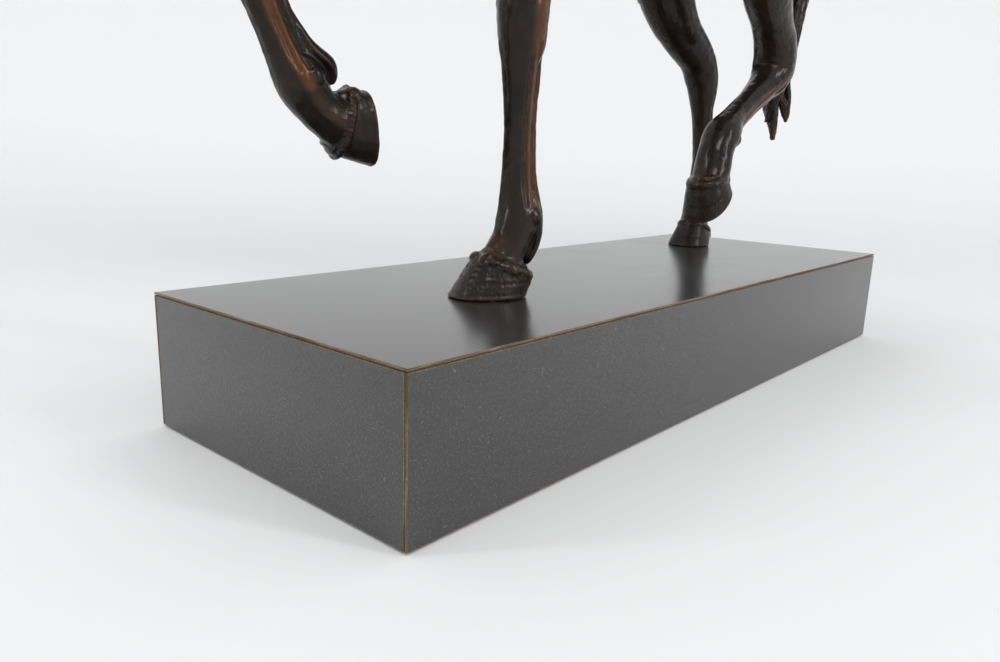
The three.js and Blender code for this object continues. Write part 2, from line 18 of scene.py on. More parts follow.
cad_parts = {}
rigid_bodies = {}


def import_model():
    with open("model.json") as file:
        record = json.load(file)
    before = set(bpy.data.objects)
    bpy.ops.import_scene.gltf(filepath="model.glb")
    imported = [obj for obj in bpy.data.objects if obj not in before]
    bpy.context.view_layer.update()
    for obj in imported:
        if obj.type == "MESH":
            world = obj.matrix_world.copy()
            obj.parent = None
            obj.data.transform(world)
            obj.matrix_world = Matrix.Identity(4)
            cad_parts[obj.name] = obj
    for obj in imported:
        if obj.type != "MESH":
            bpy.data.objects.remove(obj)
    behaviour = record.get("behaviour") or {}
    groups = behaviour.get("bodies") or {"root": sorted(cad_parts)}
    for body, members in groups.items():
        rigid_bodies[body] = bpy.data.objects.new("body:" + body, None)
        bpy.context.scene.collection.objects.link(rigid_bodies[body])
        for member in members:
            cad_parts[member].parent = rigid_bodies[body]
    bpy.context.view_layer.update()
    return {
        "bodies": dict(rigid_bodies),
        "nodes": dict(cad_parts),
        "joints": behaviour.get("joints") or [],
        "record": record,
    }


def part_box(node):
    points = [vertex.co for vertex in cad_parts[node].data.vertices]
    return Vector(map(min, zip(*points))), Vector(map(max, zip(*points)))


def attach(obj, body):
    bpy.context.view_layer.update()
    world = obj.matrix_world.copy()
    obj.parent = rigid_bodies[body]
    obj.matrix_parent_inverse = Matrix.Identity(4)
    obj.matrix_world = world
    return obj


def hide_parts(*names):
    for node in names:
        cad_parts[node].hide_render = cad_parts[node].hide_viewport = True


LOG = logging.getLogger("horse")
MM = 0.001
ROOT = "root"

Station = tuple[float, float, float, float, float, float]
Point = tuple[float, float, float]
Cut = tuple[Point, Point]


class Slot(Enum):
    """The finishes of the record that a piece takes."""

    BRONZE = "bronze"
    LAMINATE = "laminate"
    FIBREBOARD = "fibreboard"
    PLYWOOD = "plywood"
    FELT = "felt"
    STEEL = "steel"


# ---------------------------------------------------------------- shader tools


class Wiring:
    """A node tree and short ways to add to it."""

    def __init__(self, tree: bpy.types.NodeTree) -> None:
        """Keeps the tree that nodes are added to."""
        self.tree = tree

    def add(self, kind: str, inputs: dict[str, object] | None = None, **settings: object) -> bpy.types.Node:
        """Adds one node.

        Args:
            kind: The node's type name.
            inputs: Socket names, each with a number, a colour or an output socket.
            settings: Properties of the node.

        Returns:
            The new node.
        """
        node = self.tree.nodes.new(kind)
        for name, value in settings.items():
            setattr(node, name, value)
        for name, value in (inputs or {}).items():
            self.feed(node.inputs[name], value)
        return node

    def feed(self, socket: bpy.types.NodeSocket, value: object) -> None:
        """Links an output to the socket, or sets its value."""
        if isinstance(value, bpy.types.NodeSocket):
            self.tree.links.new(value, socket)
        else:
            socket.default_value = value

    def sums(self, operation: str, first: object, second: object = 0.0, clamp: bool = True) -> bpy.types.NodeSocket:
        """Adds a Math node and returns its output."""
        node = self.tree.nodes.new("ShaderNodeMath")
        node.operation = operation
        node.use_clamp = clamp
        self.feed(node.inputs[0], first)
        self.feed(node.inputs[1], second)
        return node.outputs[0]

    def blend(self, amount: object, first: object, second: object) -> bpy.types.NodeSocket:
        """Mixes two colours and returns the result."""
        node = self.tree.nodes.new("ShaderNodeMix")
        node.data_type = "RGBA"
        self.feed(node.inputs[0], amount)
        self.feed(node.inputs[6], first)
        self.feed(node.inputs[7], second)
        return node.outputs[2]

    def spread(self, value: object, low: float, high: float, start: float = 0.0, end: float = 1.0) -> bpy.types.NodeSocket:
        """Maps low..high to start..end and returns the result."""
        sockets = {"Value": value, "From Min": low, "From Max": high, "To Min": start, "To Max": end}
        return self.add("ShaderNodeMapRange", sockets).outputs["Result"]

    def mask(self, name: str) -> bpy.types.NodeSocket:
        """Reads a number that the piece keeps at each vertex."""
        return self.add("ShaderNodeAttribute", attribute_name=name).outputs["Fac"]


@dataclass(frozen=True)
class SharedPattern:
    """A node group that several finishes place, each with its own values."""

    name: str
    inputs: tuple[tuple[str, str, float], ...]
    output: str

    def open(self) -> tuple[bpy.types.NodeTree, Wiring, bpy.types.Node, bpy.types.Node, bool]:
        """Finds or starts the group.

        Returns:
            The group, its wiring, its input and output nodes, and whether it is new.
        """
        known = bpy.data.node_groups.get(self.name)
        if known:
            return known, Wiring(known), known.nodes["Group Input"], known.nodes["Group Output"], False
        tree = bpy.data.node_groups.new(self.name, "ShaderNodeTree")
        tree.interface.new_socket("Vector", in_out="INPUT", socket_type="NodeSocketVector")
        for name, kind, value in self.inputs:
            socket = tree.interface.new_socket(name, in_out="INPUT", socket_type=kind)
            socket.default_value = value
        tree.interface.new_socket(self.output, in_out="OUTPUT", socket_type="NodeSocketFloat")
        wires = Wiring(tree)
        return tree, wires, wires.add("NodeGroupInput"), wires.add("NodeGroupOutput"), True

    def place(self, wires: Wiring, vector: bpy.types.NodeSocket, **values: float) -> bpy.types.NodeSocket:
        """Puts the group into a material.

        Args:
            wires: The material's wiring.
            vector: The coordinates that the pattern reads.
            values: Numbers for the named inputs.

        Returns:
            The group's output.
        """
        node = wires.add("ShaderNodeGroup", node_tree=self.tree())
        wires.feed(node.inputs["Vector"], vector)
        for name, value in values.items():
            wires.feed(node.inputs[name.replace("_", " ")], value)
        return node.outputs[self.output]

    def tree(self) -> bpy.types.NodeTree:
        """Returns the built group."""
        raise NotImplementedError


FLOAT = "NodeSocketFloat"


class Speckle(SharedPattern):
    """Small scattered dots."""

    def tree(self) -> bpy.types.NodeTree:
        """Returns the built group."""
        tree, wires, start, end, new = self.open()
        if new:
            sockets = {"Vector": start.outputs["Vector"], "Scale": start.outputs["Scale"], "Detail": 2.0}
            dots = wires.add("ShaderNodeTexNoise", sockets).outputs["Fac"]
            edge = wires.sums("SUBTRACT", dots, start.outputs["Threshold"], clamp=False)
            wires.feed(end.inputs[0], wires.sums("MULTIPLY", edge, 9.0))
        return tree


class Patches(SharedPattern):
    """Soft cloudy patches."""

    def tree(self) -> bpy.types.NodeTree:
        """Returns the built group."""
        tree, wires, start, end, new = self.open()
        if new:
            sockets = {"Vector": start.outputs["Vector"], "Scale": start.outputs["Scale"],
                       "Detail": 5.0, "Roughness": 0.62, "Distortion": 0.6}
            cloud = wires.add("ShaderNodeTexNoise", sockets).outputs["Fac"]
            spread = wires.sums("SUBTRACT", cloud, 0.5, clamp=False)
            spread = wires.sums("MULTIPLY", spread, start.outputs["Contrast"], clamp=False)
            wires.feed(end.inputs[0], wires.sums("ADD", spread, 0.5))
        return tree


class CastGrain(SharedPattern):
    """The height of a cast or moulded skin: fine grain with open pores."""

    def tree(self) -> bpy.types.NodeTree:
        """Returns the built group."""
        tree, wires, start, end, new = self.open()
        if new:
            vector, scale = start.outputs["Vector"], start.outputs["Scale"]
            fine = wires.add("ShaderNodeTexNoise", {"Vector": vector, "Scale": scale, "Detail": 6.0}).outputs["Fac"]
            wide = wires.sums("MULTIPLY", scale, 0.55, clamp=False)
            cells = wires.add("ShaderNodeTexVoronoi", {"Vector": vector, "Scale": wide}).outputs["Distance"]
            pores = wires.spread(cells, 0.10, 0.34)
            depth = wires.sums("MULTIPLY", wires.sums("SUBTRACT", 1.0, pores), start.outputs["Pores"], clamp=False)
            wires.feed(end.inputs[0], wires.sums("SUBTRACT", fine, depth, clamp=False))
        return tree


SPECKLE = Speckle("Speckle", (("Scale", FLOAT, 900.0), ("Threshold", FLOAT, 0.62)), "Mask")
PATCHES = Patches("Patches", (("Scale", FLOAT, 30.0), ("Contrast", FLOAT, 2.0)), "Mask")
CAST_GRAIN = CastGrain("Cast grain", (("Scale", FLOAT, 700.0), ("Pores", FLOAT, 0.0)), "Height")


def begin_material(name: str, **constants: object) -> tuple[bpy.types.Material, Wiring, bpy.types.Node, bpy.types.NodeSocket]:
    """Starts a Principled material.

    Args:
        name: The material's name.
        constants: Values for the shader's own sockets, underscores for spaces.

    Returns:
        The material, its wiring, its shader and the Object coordinates.
    """
    material = bpy.data.materials.new(name)
    material.use_nodes = True
    shader = material.node_tree.nodes["Principled BSDF"]
    for socket, value in constants.items():
        shader.inputs[socket.replace("_", " ")].default_value = value
    wires = Wiring(material.node_tree)
    return material, wires, shader, wires.add("ShaderNodeTexCoord").outputs["Object"]


def add_bump(wires: Wiring, shader: bpy.types.Node, height: object, strength: float, depth: float) -> None:
    """Feeds a height through a Bump node to the shader's Normal."""
    bump = wires.add("ShaderNodeBump", {"Strength": strength, "Distance": depth, "Height": height})
    wires.feed(shader.inputs["Normal"], bump.outputs["Normal"])


# ---------------------------------------------------------------- finishes

Colour = tuple[float, float, float, float]


@dataclass(frozen=True)
class BronzePatina:
    """Dark waxed patina, rubbed through to chestnut on the high and handled places."""

    name: str = "bronze_patina"
    dark: Colour = (0.0060, 0.0056, 0.0056, 1.0)
    brown: Colour = (0.0190, 0.0120, 0.0085, 1.0)
    chestnut: Colour = (0.105, 0.043, 0.016, 1.0)
    copper: Colour = (0.20, 0.09, 0.038, 1.0)

    def material(self) -> bpy.types.Material:
        """Builds the finish and returns it."""
        made, wires, shader, place = begin_material(
            self.name, Coat_Roughness=0.16, Coat_IOR=1.5, Specular_IOR_Level=0.17)
        worn, hollow = wires.mask("worn"), wires.mask("hollow")
        rubbed, horn = wires.mask("rubbed"), wires.mask("horn")
        cloud = PATCHES.place(wires, place, Scale=38.0, Contrast=2.6)
        mottle = PATCHES.place(wires, place, Scale=260.0, Contrast=2.2)
        dots = SPECKLE.place(wires, place, Scale=1500.0, Threshold=0.66)
        tone = wires.blend(cloud, self.dark, self.brown)
        thin = wires.sums("MULTIPLY", worn, wires.spread(cloud, 0.25, 0.8, 0.05, 0.55))
        thin = wires.sums("ADD", thin, wires.sums("MULTIPLY", rubbed, wires.spread(mottle, 0.0, 0.8, 0.45, 1.0)))
        tone = wires.blend(thin, tone, self.chestnut)
        bare = wires.spread(wires.sums("MULTIPLY", worn, mottle), 0.6, 1.0, 0.0, 0.5)
        tone = wires.blend(bare, tone, self.copper)
        tone = wires.blend(wires.sums("MULTIPLY", dots, 0.05), tone, self.copper)
        tone = wires.blend(wires.sums("MULTIPLY", hollow, 0.75), tone, self.dark)
        wires.feed(shader.inputs["Base Color"], tone)
        wires.feed(shader.inputs["Metallic"], wires.spread(thin, 0.0, 1.0, 0.05, 0.45))
        gloss = wires.sums("ADD", wires.spread(mottle, 0.0, 1.0, 0.18, 0.27), wires.sums("MULTIPLY", hollow, 0.25))
        gloss = wires.sums("ADD", gloss, wires.sums("MULTIPLY", horn, 0.10))
        wires.feed(shader.inputs["Roughness"], gloss)
        wires.feed(shader.inputs["Coat Weight"], wires.spread(cloud, 0.0, 1.0, 0.04, 0.11))
        grain = CAST_GRAIN.place(wires, place, Scale=1100.0, Pores=wires.spread(horn, 0.0, 1.0, 0.15, 1.1))
        swell = wires.add("ShaderNodeTexNoise", {"Vector": place, "Scale": 240.0, "Detail": 3.0}).outputs["Fac"]
        height = wires.sums("ADD", wires.sums("MULTIPLY", grain, 0.22, clamp=False), swell, clamp=False)
        add_bump(wires, shader, height, 0.28, 0.00035)
        return made


@dataclass(frozen=True)
class LaminateFace:
    """Charcoal satin face of the plastic laminate, with a fine speckle and a slight peel."""

    name: str = "laminate_face"
    charcoal: Colour = (0.019, 0.0183, 0.018, 1.0)
    pale: Colour = (0.16, 0.158, 0.155, 1.0)
    chip: Colour = (0.17, 0.12, 0.07, 1.0)

    def material(self) -> bpy.types.Material:
        """Builds the finish and returns it."""
        made, wires, shader, place = begin_material(
            self.name, Specular_IOR_Level=0.75, IOR=1.52, Coat_Weight=0.15, Coat_Roughness=0.18)
        cloud = PATCHES.place(wires, place, Scale=12.0, Contrast=1.6)
        dots = SPECKLE.place(wires, place, Scale=1500.0, Threshold=0.60)
        dust = SPECKLE.place(wires, place, Scale=420.0, Threshold=0.70)
        tone = wires.blend(wires.sums("MULTIPLY", dots, 0.60), self.charcoal, self.pale)
        tone = wires.blend(wires.sums("MULTIPLY", dust, 0.60), tone, self.pale)
        low = wires.add("ShaderNodeSeparateXYZ", {"Vector": place}).outputs["Z"]
        ragged = wires.add("ShaderNodeTexNoise", {"Vector": place, "Scale": 620.0, "Detail": 4.0}).outputs["Fac"]
        line = wires.sums("MULTIPLY", wires.spread(ragged, 0.56, 0.80), 0.0015, clamp=False)
        near = wires.sums("LESS_THAN", wires.sums("SUBTRACT", low, 0.00105, clamp=False), line)
        tone = wires.blend(wires.sums("MULTIPLY", near, 0.7), tone, self.chip)
        wires.feed(shader.inputs["Base Color"], tone)
        wires.feed(shader.inputs["Roughness"], wires.spread(cloud, 0.0, 1.0, 0.19, 0.25))
        peel = wires.add("ShaderNodeTexNoise", {"Vector": place, "Scale": 1250.0, "Detail": 2.0}).outputs["Fac"]
        add_bump(wires, shader, peel, 0.34, 0.00006)
        return made


@dataclass(frozen=True)
class LaminateCore:
    """Brown phenolic core that shows along the trimmed edges of the laminate."""

    name: str = "laminate_core"
    dark: Colour = (0.045, 0.026, 0.013, 1.0)
    tan: Colour = (0.30, 0.22, 0.13, 1.0)
    stretch: Point = (0.05, 0.05, 1.6)

    def material(self) -> bpy.types.Material:
        """Builds the finish and returns it."""
        made, wires, shader, place = begin_material(self.name, Specular_IOR_Level=0.4)
        along = wires.add("ShaderNodeMapping", {"Vector": place, "Scale": self.stretch}).outputs["Vector"]
        cloud = PATCHES.place(wires, along, Scale=900.0, Contrast=3.4)
        fine = PATCHES.place(wires, place, Scale=1400.0, Contrast=2.4)
        rub = wires.sums("MULTIPLY", cloud, wires.spread(fine, 0.2, 0.9, 0.25, 1.0))
        wires.feed(shader.inputs["Base Color"], wires.blend(rub, self.dark, self.tan))
        wires.feed(shader.inputs["Roughness"], wires.spread(fine, 0.0, 1.0, 0.5, 0.7))
        add_bump(wires, shader, fine, 0.4, 0.0001)
        return made


@dataclass(frozen=True)
class TimberGrain:
    """Boards and plies with a running grain."""

    name: str
    pale: Colour
    deep: Colour
    stretch: Point = (6.0, 90.0, 90.0)
    roughness: float = 0.75

    def material(self) -> bpy.types.Material:
        """Builds the finish and returns it."""
        made, wires, shader, place = begin_material(self.name)
        along = wires.add("ShaderNodeMapping", {"Vector": place, "Scale": self.stretch}).outputs["Vector"]
        grain = PATCHES.place(wires, along, Scale=4.0, Contrast=3.0)
        pores = PATCHES.place(wires, along, Scale=22.0, Contrast=2.0)
        mixed = wires.sums("ADD", wires.sums("MULTIPLY", grain, 0.7), wires.sums("MULTIPLY", pores, 0.3))
        wires.feed(shader.inputs["Base Color"], wires.blend(mixed, self.pale, self.deep))
        low, high = self.roughness - 0.08, self.roughness + 0.08
        wires.feed(shader.inputs["Roughness"], wires.spread(pores, 0.0, 1.0, low, high))
        add_bump(wires, shader, mixed, 0.4, 0.0004)
        return made


@dataclass(frozen=True)
class PlatedSteel:
    """Zinc plated steel of the studs, nuts, washers and screws."""

    name: str = "plated_steel"
    bright: Colour = (0.62, 0.62, 0.60, 1.0)
    dull: Colour = (0.36, 0.36, 0.35, 1.0)

    def material(self) -> bpy.types.Material:
        """Builds the finish and returns it."""
        made, wires, shader, place = begin_material(self.name, Metallic=1.0)
        cloud = PATCHES.place(wires, place, Scale=320.0, Contrast=2.4)
        wires.feed(shader.inputs["Base Color"], wires.blend(cloud, self.bright, self.dull))
        wires.feed(shader.inputs["Roughness"], wires.spread(cloud, 0.0, 1.0, 0.25, 0.45))
        fine = wires.add("ShaderNodeTexNoise", {"Vector": place, "Scale": 2600.0}).outputs["Fac"]
        add_bump(wires, shader, fine, 0.2, 0.00005)
        return made


@dataclass(frozen=True)
class GreenFelt:
    """Pressed wool under the plinth."""

    name: str = "green_felt"
    dark: Colour = (0.010, 0.030, 0.018, 1.0)
    pale: Colour = (0.030, 0.075, 0.045, 1.0)

    def material(self) -> bpy.types.Material:
        """Builds the finish and returns it."""
        made, wires, shader, place = begin_material(self.name, Sheen_Weight=0.4, Roughness=0.95)
        fibres = PATCHES.place(wires, place, Scale=900.0, Contrast=3.0)
        wires.feed(shader.inputs["Base Color"], wires.blend(fibres, self.dark, self.pale))
        add_bump(wires, shader, fibres, 0.7, 0.0003)
        return made


@dataclass(frozen=True)
class StudioPaper:
    """Seamless white paper of the studio, with painted shade: grey towards the middle of the cove round the plinth,
    fading to white further out.
    """

    name: str = "studio_paper"
    white: Colour = (0.93, 0.932, 0.936, 1.0)
    painted_shade_grey: Colour = (0.71, 0.712, 0.716, 1.0)
    painted_shade_reach: float = 0.6
    white_reach: float = 1.9

    def material(self) -> bpy.types.Material:
        """Builds the finish and returns it."""
        made, wires, shader, place = begin_material(self.name, Specular_IOR_Level=0.2)
        cloud = PATCHES.place(wires, place, Scale=2.0, Contrast=1.2)
        # Painted shade: the paper is grey near the middle of the cove and turns white with distance from it.
        away = wires.add("ShaderNodeVectorMath", {"Vector": place}, operation="LENGTH").outputs["Value"]
        painted_shade_fade = wires.spread(away, self.painted_shade_reach, self.white_reach)
        painted_shade_fade = wires.sums("SUBTRACT", painted_shade_fade, wires.sums("MULTIPLY", cloud, 0.04))
        wires.feed(shader.inputs["Base Color"], wires.blend(painted_shade_fade, self.painted_shade_grey, self.white))
        wires.feed(shader.inputs["Roughness"], wires.spread(cloud, 0.0, 1.0, 0.7, 0.8))
        return made


# ---------------------------------------------------------------- shaping tools


def spline(rows: list[tuple[float, ...]], place: float) -> tuple[float, ...]:
    """Reads a smooth curve through the rows.

    Args:
        rows: Rows of numbers, one per station.
        place: 0 at the first row, 1 at the second and so on.

    Returns:
        One row between the stations.
    """
    index = min(int(place), len(rows) - 2)
    t = place - index
    a, b = rows[max(index - 1, 0)], rows[index]
    c, d = rows[index + 1], rows[min(index + 2, len(rows) - 1)]
    weights = (-0.5 * t + t * t - 0.5 * t**3, 1 - 2.5 * t * t + 1.5 * t**3,
               0.5 * t + 2 * t * t - 1.5 * t**3, -0.5 * t * t + 0.5 * t**3)
    return tuple(sum(w * v for w, v in zip(weights, values)) for values in zip(a, b, c, d))


@dataclass
class Path:
    """A centre line with a section at each station: x, y, z, front, back, side."""

    stations: list[Station]
    yaw: float = 0.0
    upright: bool = False
    origin: float = 0.0

    def row(self, place: float) -> tuple[float, ...]:
        """Returns the section at a place along the line, running straight on past its ends."""
        last = len(self.stations) - 1
        place += self.origin
        inside = min(max(place, 0.0), float(last))
        row = spline(self.stations, inside)
        if place == inside:
            return row
        step = place - inside
        near = spline(self.stations, inside - math.copysign(0.05, step))
        return tuple(r + (r - n) / 0.05 * abs(step) if i < 3 else r for i, (r, n) in enumerate(zip(row, near)))

    def frame(self, place: float) -> tuple[Vector, Vector, Vector, Vector]:
        """Returns the centre and the ahead, across and along directions at a place."""
        before, after = Vector(self.row(place - 0.04)[:3]), Vector(self.row(place + 0.04)[:3])
        along = Vector((1, 0, 0)) if self.upright else (after - before).normalized()
        turn = math.radians(self.yaw)
        ahead = Vector((math.sin(turn), math.cos(turn), 0)).cross(along).normalized()
        return Vector(self.row(place)[:3]), ahead, along.cross(ahead), along

    def spot(self, place: float, ahead: float, across: float) -> Vector:
        """Returns a point in the section, with ahead and across in parts of its half widths."""
        centre, front_way, side_way, _ = self.frame(place)
        _, _, _, front, back, side = self.row(place)
        return centre + front_way * ahead * (front if ahead > 0 else back) + side_way * across * side

    def rings(self, start: float, end: float, gap: float, sides: int, scale: float = 1.0) -> list[list[Vector]]:
        """Returns rings of points from start to end, about a gap apart."""
        length = (Vector(self.row(end)[:3]) - Vector(self.row(start)[:3])).length
        count = max(int(length / gap), int((end - start) * 4), 3)
        made = []
        for step in range(count + 1):
            place = start + (end - start) * step / count
            turns = [2 * math.pi * k / sides for k in range(sides)]
            made.append([self.spot(place, math.cos(a) * scale, math.sin(a) * scale) for a in turns])
        return made


class Casting:
    """Overlapping closed volumes in millimetres that become one smooth skin."""

    def __init__(self, name: str) -> None:
        """Starts an empty casting."""
        self.name = name
        self.mesh = bmesh.new()

    def skin(self, rings: list[list[Vector]]) -> None:
        """Adds a closed volume through rings with equal numbers of points."""
        edges: list[list[bmesh.types.BMEdge]] = []
        for index, ring in enumerate(rings):
            ends = index in (0, len(rings) - 1)
            made = bmesh.ops.create_circle(self.mesh, cap_ends=ends, segments=len(ring), radius=1.0)
            for vert, point in zip(made["verts"], ring):
                vert.co = point
            loop = {edge for vert in made["verts"] for edge in vert.link_edges}
            edges.append(list(loop))
        for low, high in zip(edges, edges[1:]):
            bmesh.ops.bridge_loops(self.mesh, edges=low + high)

    def limb(self, path: Path, start: float, end: float, sides: int = 28, gap: float = 3.0, scale: float = 1.0) -> None:
        """Adds the volume of a path between two places."""
        self.skin(path.rings(start, end, gap, sides, scale))

    def strand(self, points: list[Vector], radii: list[float], flat: float = 1.0, sides: int = 8, steps: int = 3) -> None:
        """Adds a smooth tapering cord of bronze, such as a tendon, a vein or a lock of hair."""
        rows = [(*p, r, r, r * flat) for p, r in zip(points, radii)]
        path = Path(rows)
        count = (len(rows) - 1) * steps
        rings = []
        for step in range(count + 1):
            place = step * (len(rows) - 1) / count
            turns = [2 * math.pi * k / sides for k in range(sides)]
            rings.append([path.spot(place, math.cos(a), math.sin(a)) for a in turns])
        self.skin(rings)

    def mass(self, start: Point, end: Point, radius: float, depth: float = 0.0) -> None:
        """Adds a muscle or bone as a long round mass from start to end."""
        low, high = Vector(start), Vector(end)
        way = high - low
        turn = way.to_track_quat("Z", "Y").to_matrix().to_4x4() if way.length > 0 else Matrix()
        size = Matrix.Diagonal((depth or radius, radius, way.length / 2 + radius * 0.55, 1.0))
        place = Matrix.Translation((low + high) / 2) @ turn @ size
        bmesh.ops.create_icosphere(self.mesh, subdivisions=3, radius=1.0, matrix=place)

    def fuse(self, voxel: float, rounds: int) -> bpy.types.Mesh:
        """Joins the volumes into one skin.

        Args:
            voxel: Size of the joining grid in millimetres.
            rounds: How often the skin is smoothed.

        Returns:
            The joined mesh in metres.
        """
        bmesh.ops.recalc_face_normals(self.mesh, faces=self.mesh.faces)
        bmesh.ops.scale(self.mesh, vec=(MM, MM, MM), verts=self.mesh.verts)
        rough = bpy.data.meshes.new(f"{self.name}_rough")
        self.mesh.to_mesh(rough)
        self.mesh.free()
        holder = bpy.data.objects.new(f"{self.name}_rough", rough)
        bpy.context.scene.collection.objects.link(holder)
        remesh = holder.modifiers.new("join", "REMESH")
        remesh.mode = "VOXEL"
        remesh.voxel_size = voxel * MM * 1.0
        smooth = holder.modifiers.new("ease", "SMOOTH")
        smooth.factor, smooth.iterations = 0.5, rounds
        seen = holder.evaluated_get(bpy.context.evaluated_depsgraph_get())
        made = bpy.data.meshes.new_from_object(seen)
        made.name = self.name
        bpy.data.objects.remove(holder)
        bpy.data.meshes.remove(rough)
        return made


class Chaser:
    """Chases the surface of a cast skin: presses grooves, raises ridges and keeps the masks of the finish."""

    def __init__(self, mesh: bpy.types.Mesh) -> None:
        """Reads the skin."""
        self.mesh = mesh
        count = len(mesh.vertices)
        self.places = np.empty(count * 3)
        mesh.vertices.foreach_get("co", self.places)
        self.places = self.places.reshape(-1, 3) / MM
        self.normals = np.empty(count * 3)
        mesh.vertices.foreach_get("normal", self.normals)
        self.normals = self.normals.reshape(-1, 3)
        ends = np.empty(len(mesh.edges) * 2, dtype=np.int64)
        mesh.edges.foreach_get("vertices", ends)
        self.first, self.second = ends[0::2], ends[1::2]
        self.links = np.maximum(np.bincount(ends, minlength=count), 1)

    def distance(self, points: list[Vector]) -> np.ndarray:
        """Returns each vertex's distance to a line through the points."""
        best = np.full(len(self.places), 1e9)
        for start, end in zip(points, points[1:] if len(points) > 1 else points):
            low, way = np.array(start), np.array(end) - np.array(start)
            reach = max(float(way @ way), 1e-9)
            t = np.clip(((self.places - low) @ way) / reach, 0, 1)
            best = np.minimum(best, np.linalg.norm(self.places - low - t[:, None] * way, axis=1))
        return best

    def press(self, points: list[Vector], radius: float, depth: float) -> None:
        """Presses a groove along the points, or raises a ridge where depth is negative."""
        near = np.clip(1 - self.distance(points) / radius, 0, 1)
        fall = near * near * (3 - 2 * near)
        self.places -= self.normals * (fall * depth)[:, None]

    def ripple(self, scale: float, height: float, where: np.ndarray | None = None, seed: float = 0.0) -> None:
        """Lets the skin swell and sink by an uneven noise."""
        offset = Vector((seed, seed * 1.7, seed * 0.6))
        values = np.array([noise.fractal(Vector(p) / scale + offset, 1.0, 2.0, 3) for p in self.places])
        if where is not None:
            values *= where
        self.places += self.normals * (values * height)[:, None]

    def average(self, values: np.ndarray, rounds: int) -> np.ndarray:
        """Returns the values averaged over neighbours."""
        count = len(values)
        for _ in range(rounds):
            total = np.empty_like(values)
            for axis in range(values.shape[1]):
                column = values[:, axis]
                total[:, axis] = np.bincount(self.first, column[self.second], count)
                total[:, axis] += np.bincount(self.second, column[self.first], count)
            values = 0.35 * values + 0.65 * total / self.links[:, None]
        return values

    def keep(self, name: str, values: np.ndarray) -> None:
        """Stores a mask on the skin."""
        layer = self.mesh.attributes.get(name) or self.mesh.attributes.new(name, "FLOAT", "POINT")
        layer.data.foreach_set("value", np.clip(values, 0, 1).astype(np.float32))

    def finish(self, reach: float, rounds: int) -> None:
        """Writes the places back and stores how far each spot stands proud or lies deep."""
        self.mesh.vertices.foreach_set("co", (self.places * MM).ravel())
        self.mesh.update()
        normals = np.empty(len(self.places) * 3)
        self.mesh.vertices.foreach_get("normal", normals)
        self.normals = normals.reshape(-1, 3)
        relief = ((self.places - self.average(self.places, rounds)) * self.normals).sum(axis=1)
        relief = self.average(relief[:, None], 2)[:, 0]
        self.keep("worn", (relief - reach * 0.12) / reach)
        self.keep("hollow", (-relief - reach * 0.05) / reach)


def place_piece(name: str, mesh: bpy.types.Mesh, looks: list[bpy.types.Material], nodes: list[str]) -> bpy.types.Object:
    """Makes a finished piece of the object.

    Args:
        name: The piece's name.
        mesh: Its mesh, in place and in metres.
        looks: Its materials, in the order of its faces' indices.
        nodes: The nodes that it stands for.

    Returns:
        The piece.
    """
    for look in looks:
        mesh.materials.append(look)
    piece = bpy.data.objects.new(name, mesh)
    bpy.context.scene.collection.objects.link(piece)
    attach(piece, ROOT)
    if nodes:
        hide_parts(*nodes)
    LOG.info("%s: %d faces", name, len(mesh.polygons))
    return piece


def close_cuts(mesh: bmesh.types.BMesh) -> None:
    """Caps every open loop and keeps its rim crisp."""
    rims = [edge for edge in mesh.edges if edge.is_boundary]
    for edge in rims:
        edge.smooth = False
    made = bmesh.ops.holes_fill(mesh, edges=rims, sides=0)
    for face in made["faces"]:
        face.smooth = False
    bmesh.ops.recalc_face_normals(mesh, faces=mesh.faces)


def shade(mesh: bmesh.types.BMesh) -> None:
    """Makes every face smooth."""
    for face in mesh.faces:
        face.smooth = True


# ---------------------------------------------------------------- plinth


@dataclass
class Plinth:
    """The laminate-clad box that the horse stands on."""

    face: bpy.types.Material
    core: bpy.types.Material
    upright_core: bpy.types.Material
    timber: dict[str, bpy.types.Material]
    felt: bpy.types.Material
    edge: float = 0.40
    nodes: tuple[tuple[str, Point], ...] = (
        ("laminate_top", (0, 0, 1)), ("laminate_left", (0, -1, 0)), ("laminate_right", (0, 1, 0)),
        ("laminate_front", (-1, 0, 0)), ("laminate_rear", (1, 0, 0)))

    def build(self) -> None:
        """Makes the five sheets and dresses the carcass."""
        for name, outward in self.nodes:
            self.sheet(name, Vector(outward))
        self.dress()

    def sheet(self, name: str, outward: Vector) -> bpy.types.Object:
        """Makes one sheet with eased edges and its brown core showing at the rim.

        Args:
            name: The node that it stands for.
            outward: The way its decorative face looks.

        Returns:
            The sheet.
        """
        low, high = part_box(name)
        low, high = Vector(low), Vector(high)
        mesh = bmesh.new()
        fit = Matrix.Translation((low + high) / 2) @ Matrix.Diagonal((*(high - low), 1.0))
        bmesh.ops.create_cube(mesh, size=1.0, matrix=fit)
        bmesh.ops.bevel(mesh, geom=list(mesh.edges), offset=self.edge * MM, offset_type="OFFSET", segments=2,
                        profile=0.5, affect="EDGES", material=-1)
        bmesh.ops.recalc_face_normals(mesh, faces=mesh.faces)
        for face in mesh.faces:
            face.smooth = False
            face.material_index = 0 if abs(face.normal.dot(outward)) > 0.97 else 1
        data = bpy.data.meshes.new(name)
        mesh.to_mesh(data)
        mesh.free()
        core = self.core if outward.z else self.upright_core
        return place_piece(f"sheet_{name}", data, [self.face, core], [name])

    def dress(self) -> None:
        """Gives the boards, rails, blocks, panel and felt their finishes."""
        groups = {
            "board": ("top_board", "side_rail_left", "side_rail_right", "end_rail_front", "end_rail_rear"),
            "block": tuple(f"block_{end}_{side}" for end in ("front", "middle", "rear") for side in ("left", "right")),
            "ply": ("closing_panel",),
        }
        for kind, names in groups.items():
            for name in names:
                dress_node(name, self.timber[kind])
        dress_node("felt_sheet", self.felt)


def dress_node(name: str, look: bpy.types.Material) -> None:
    """Puts a material on a node that stays as it is."""
    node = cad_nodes()[name]
    for slot in node.material_slots:
        slot.link = "OBJECT"
        slot.material = look


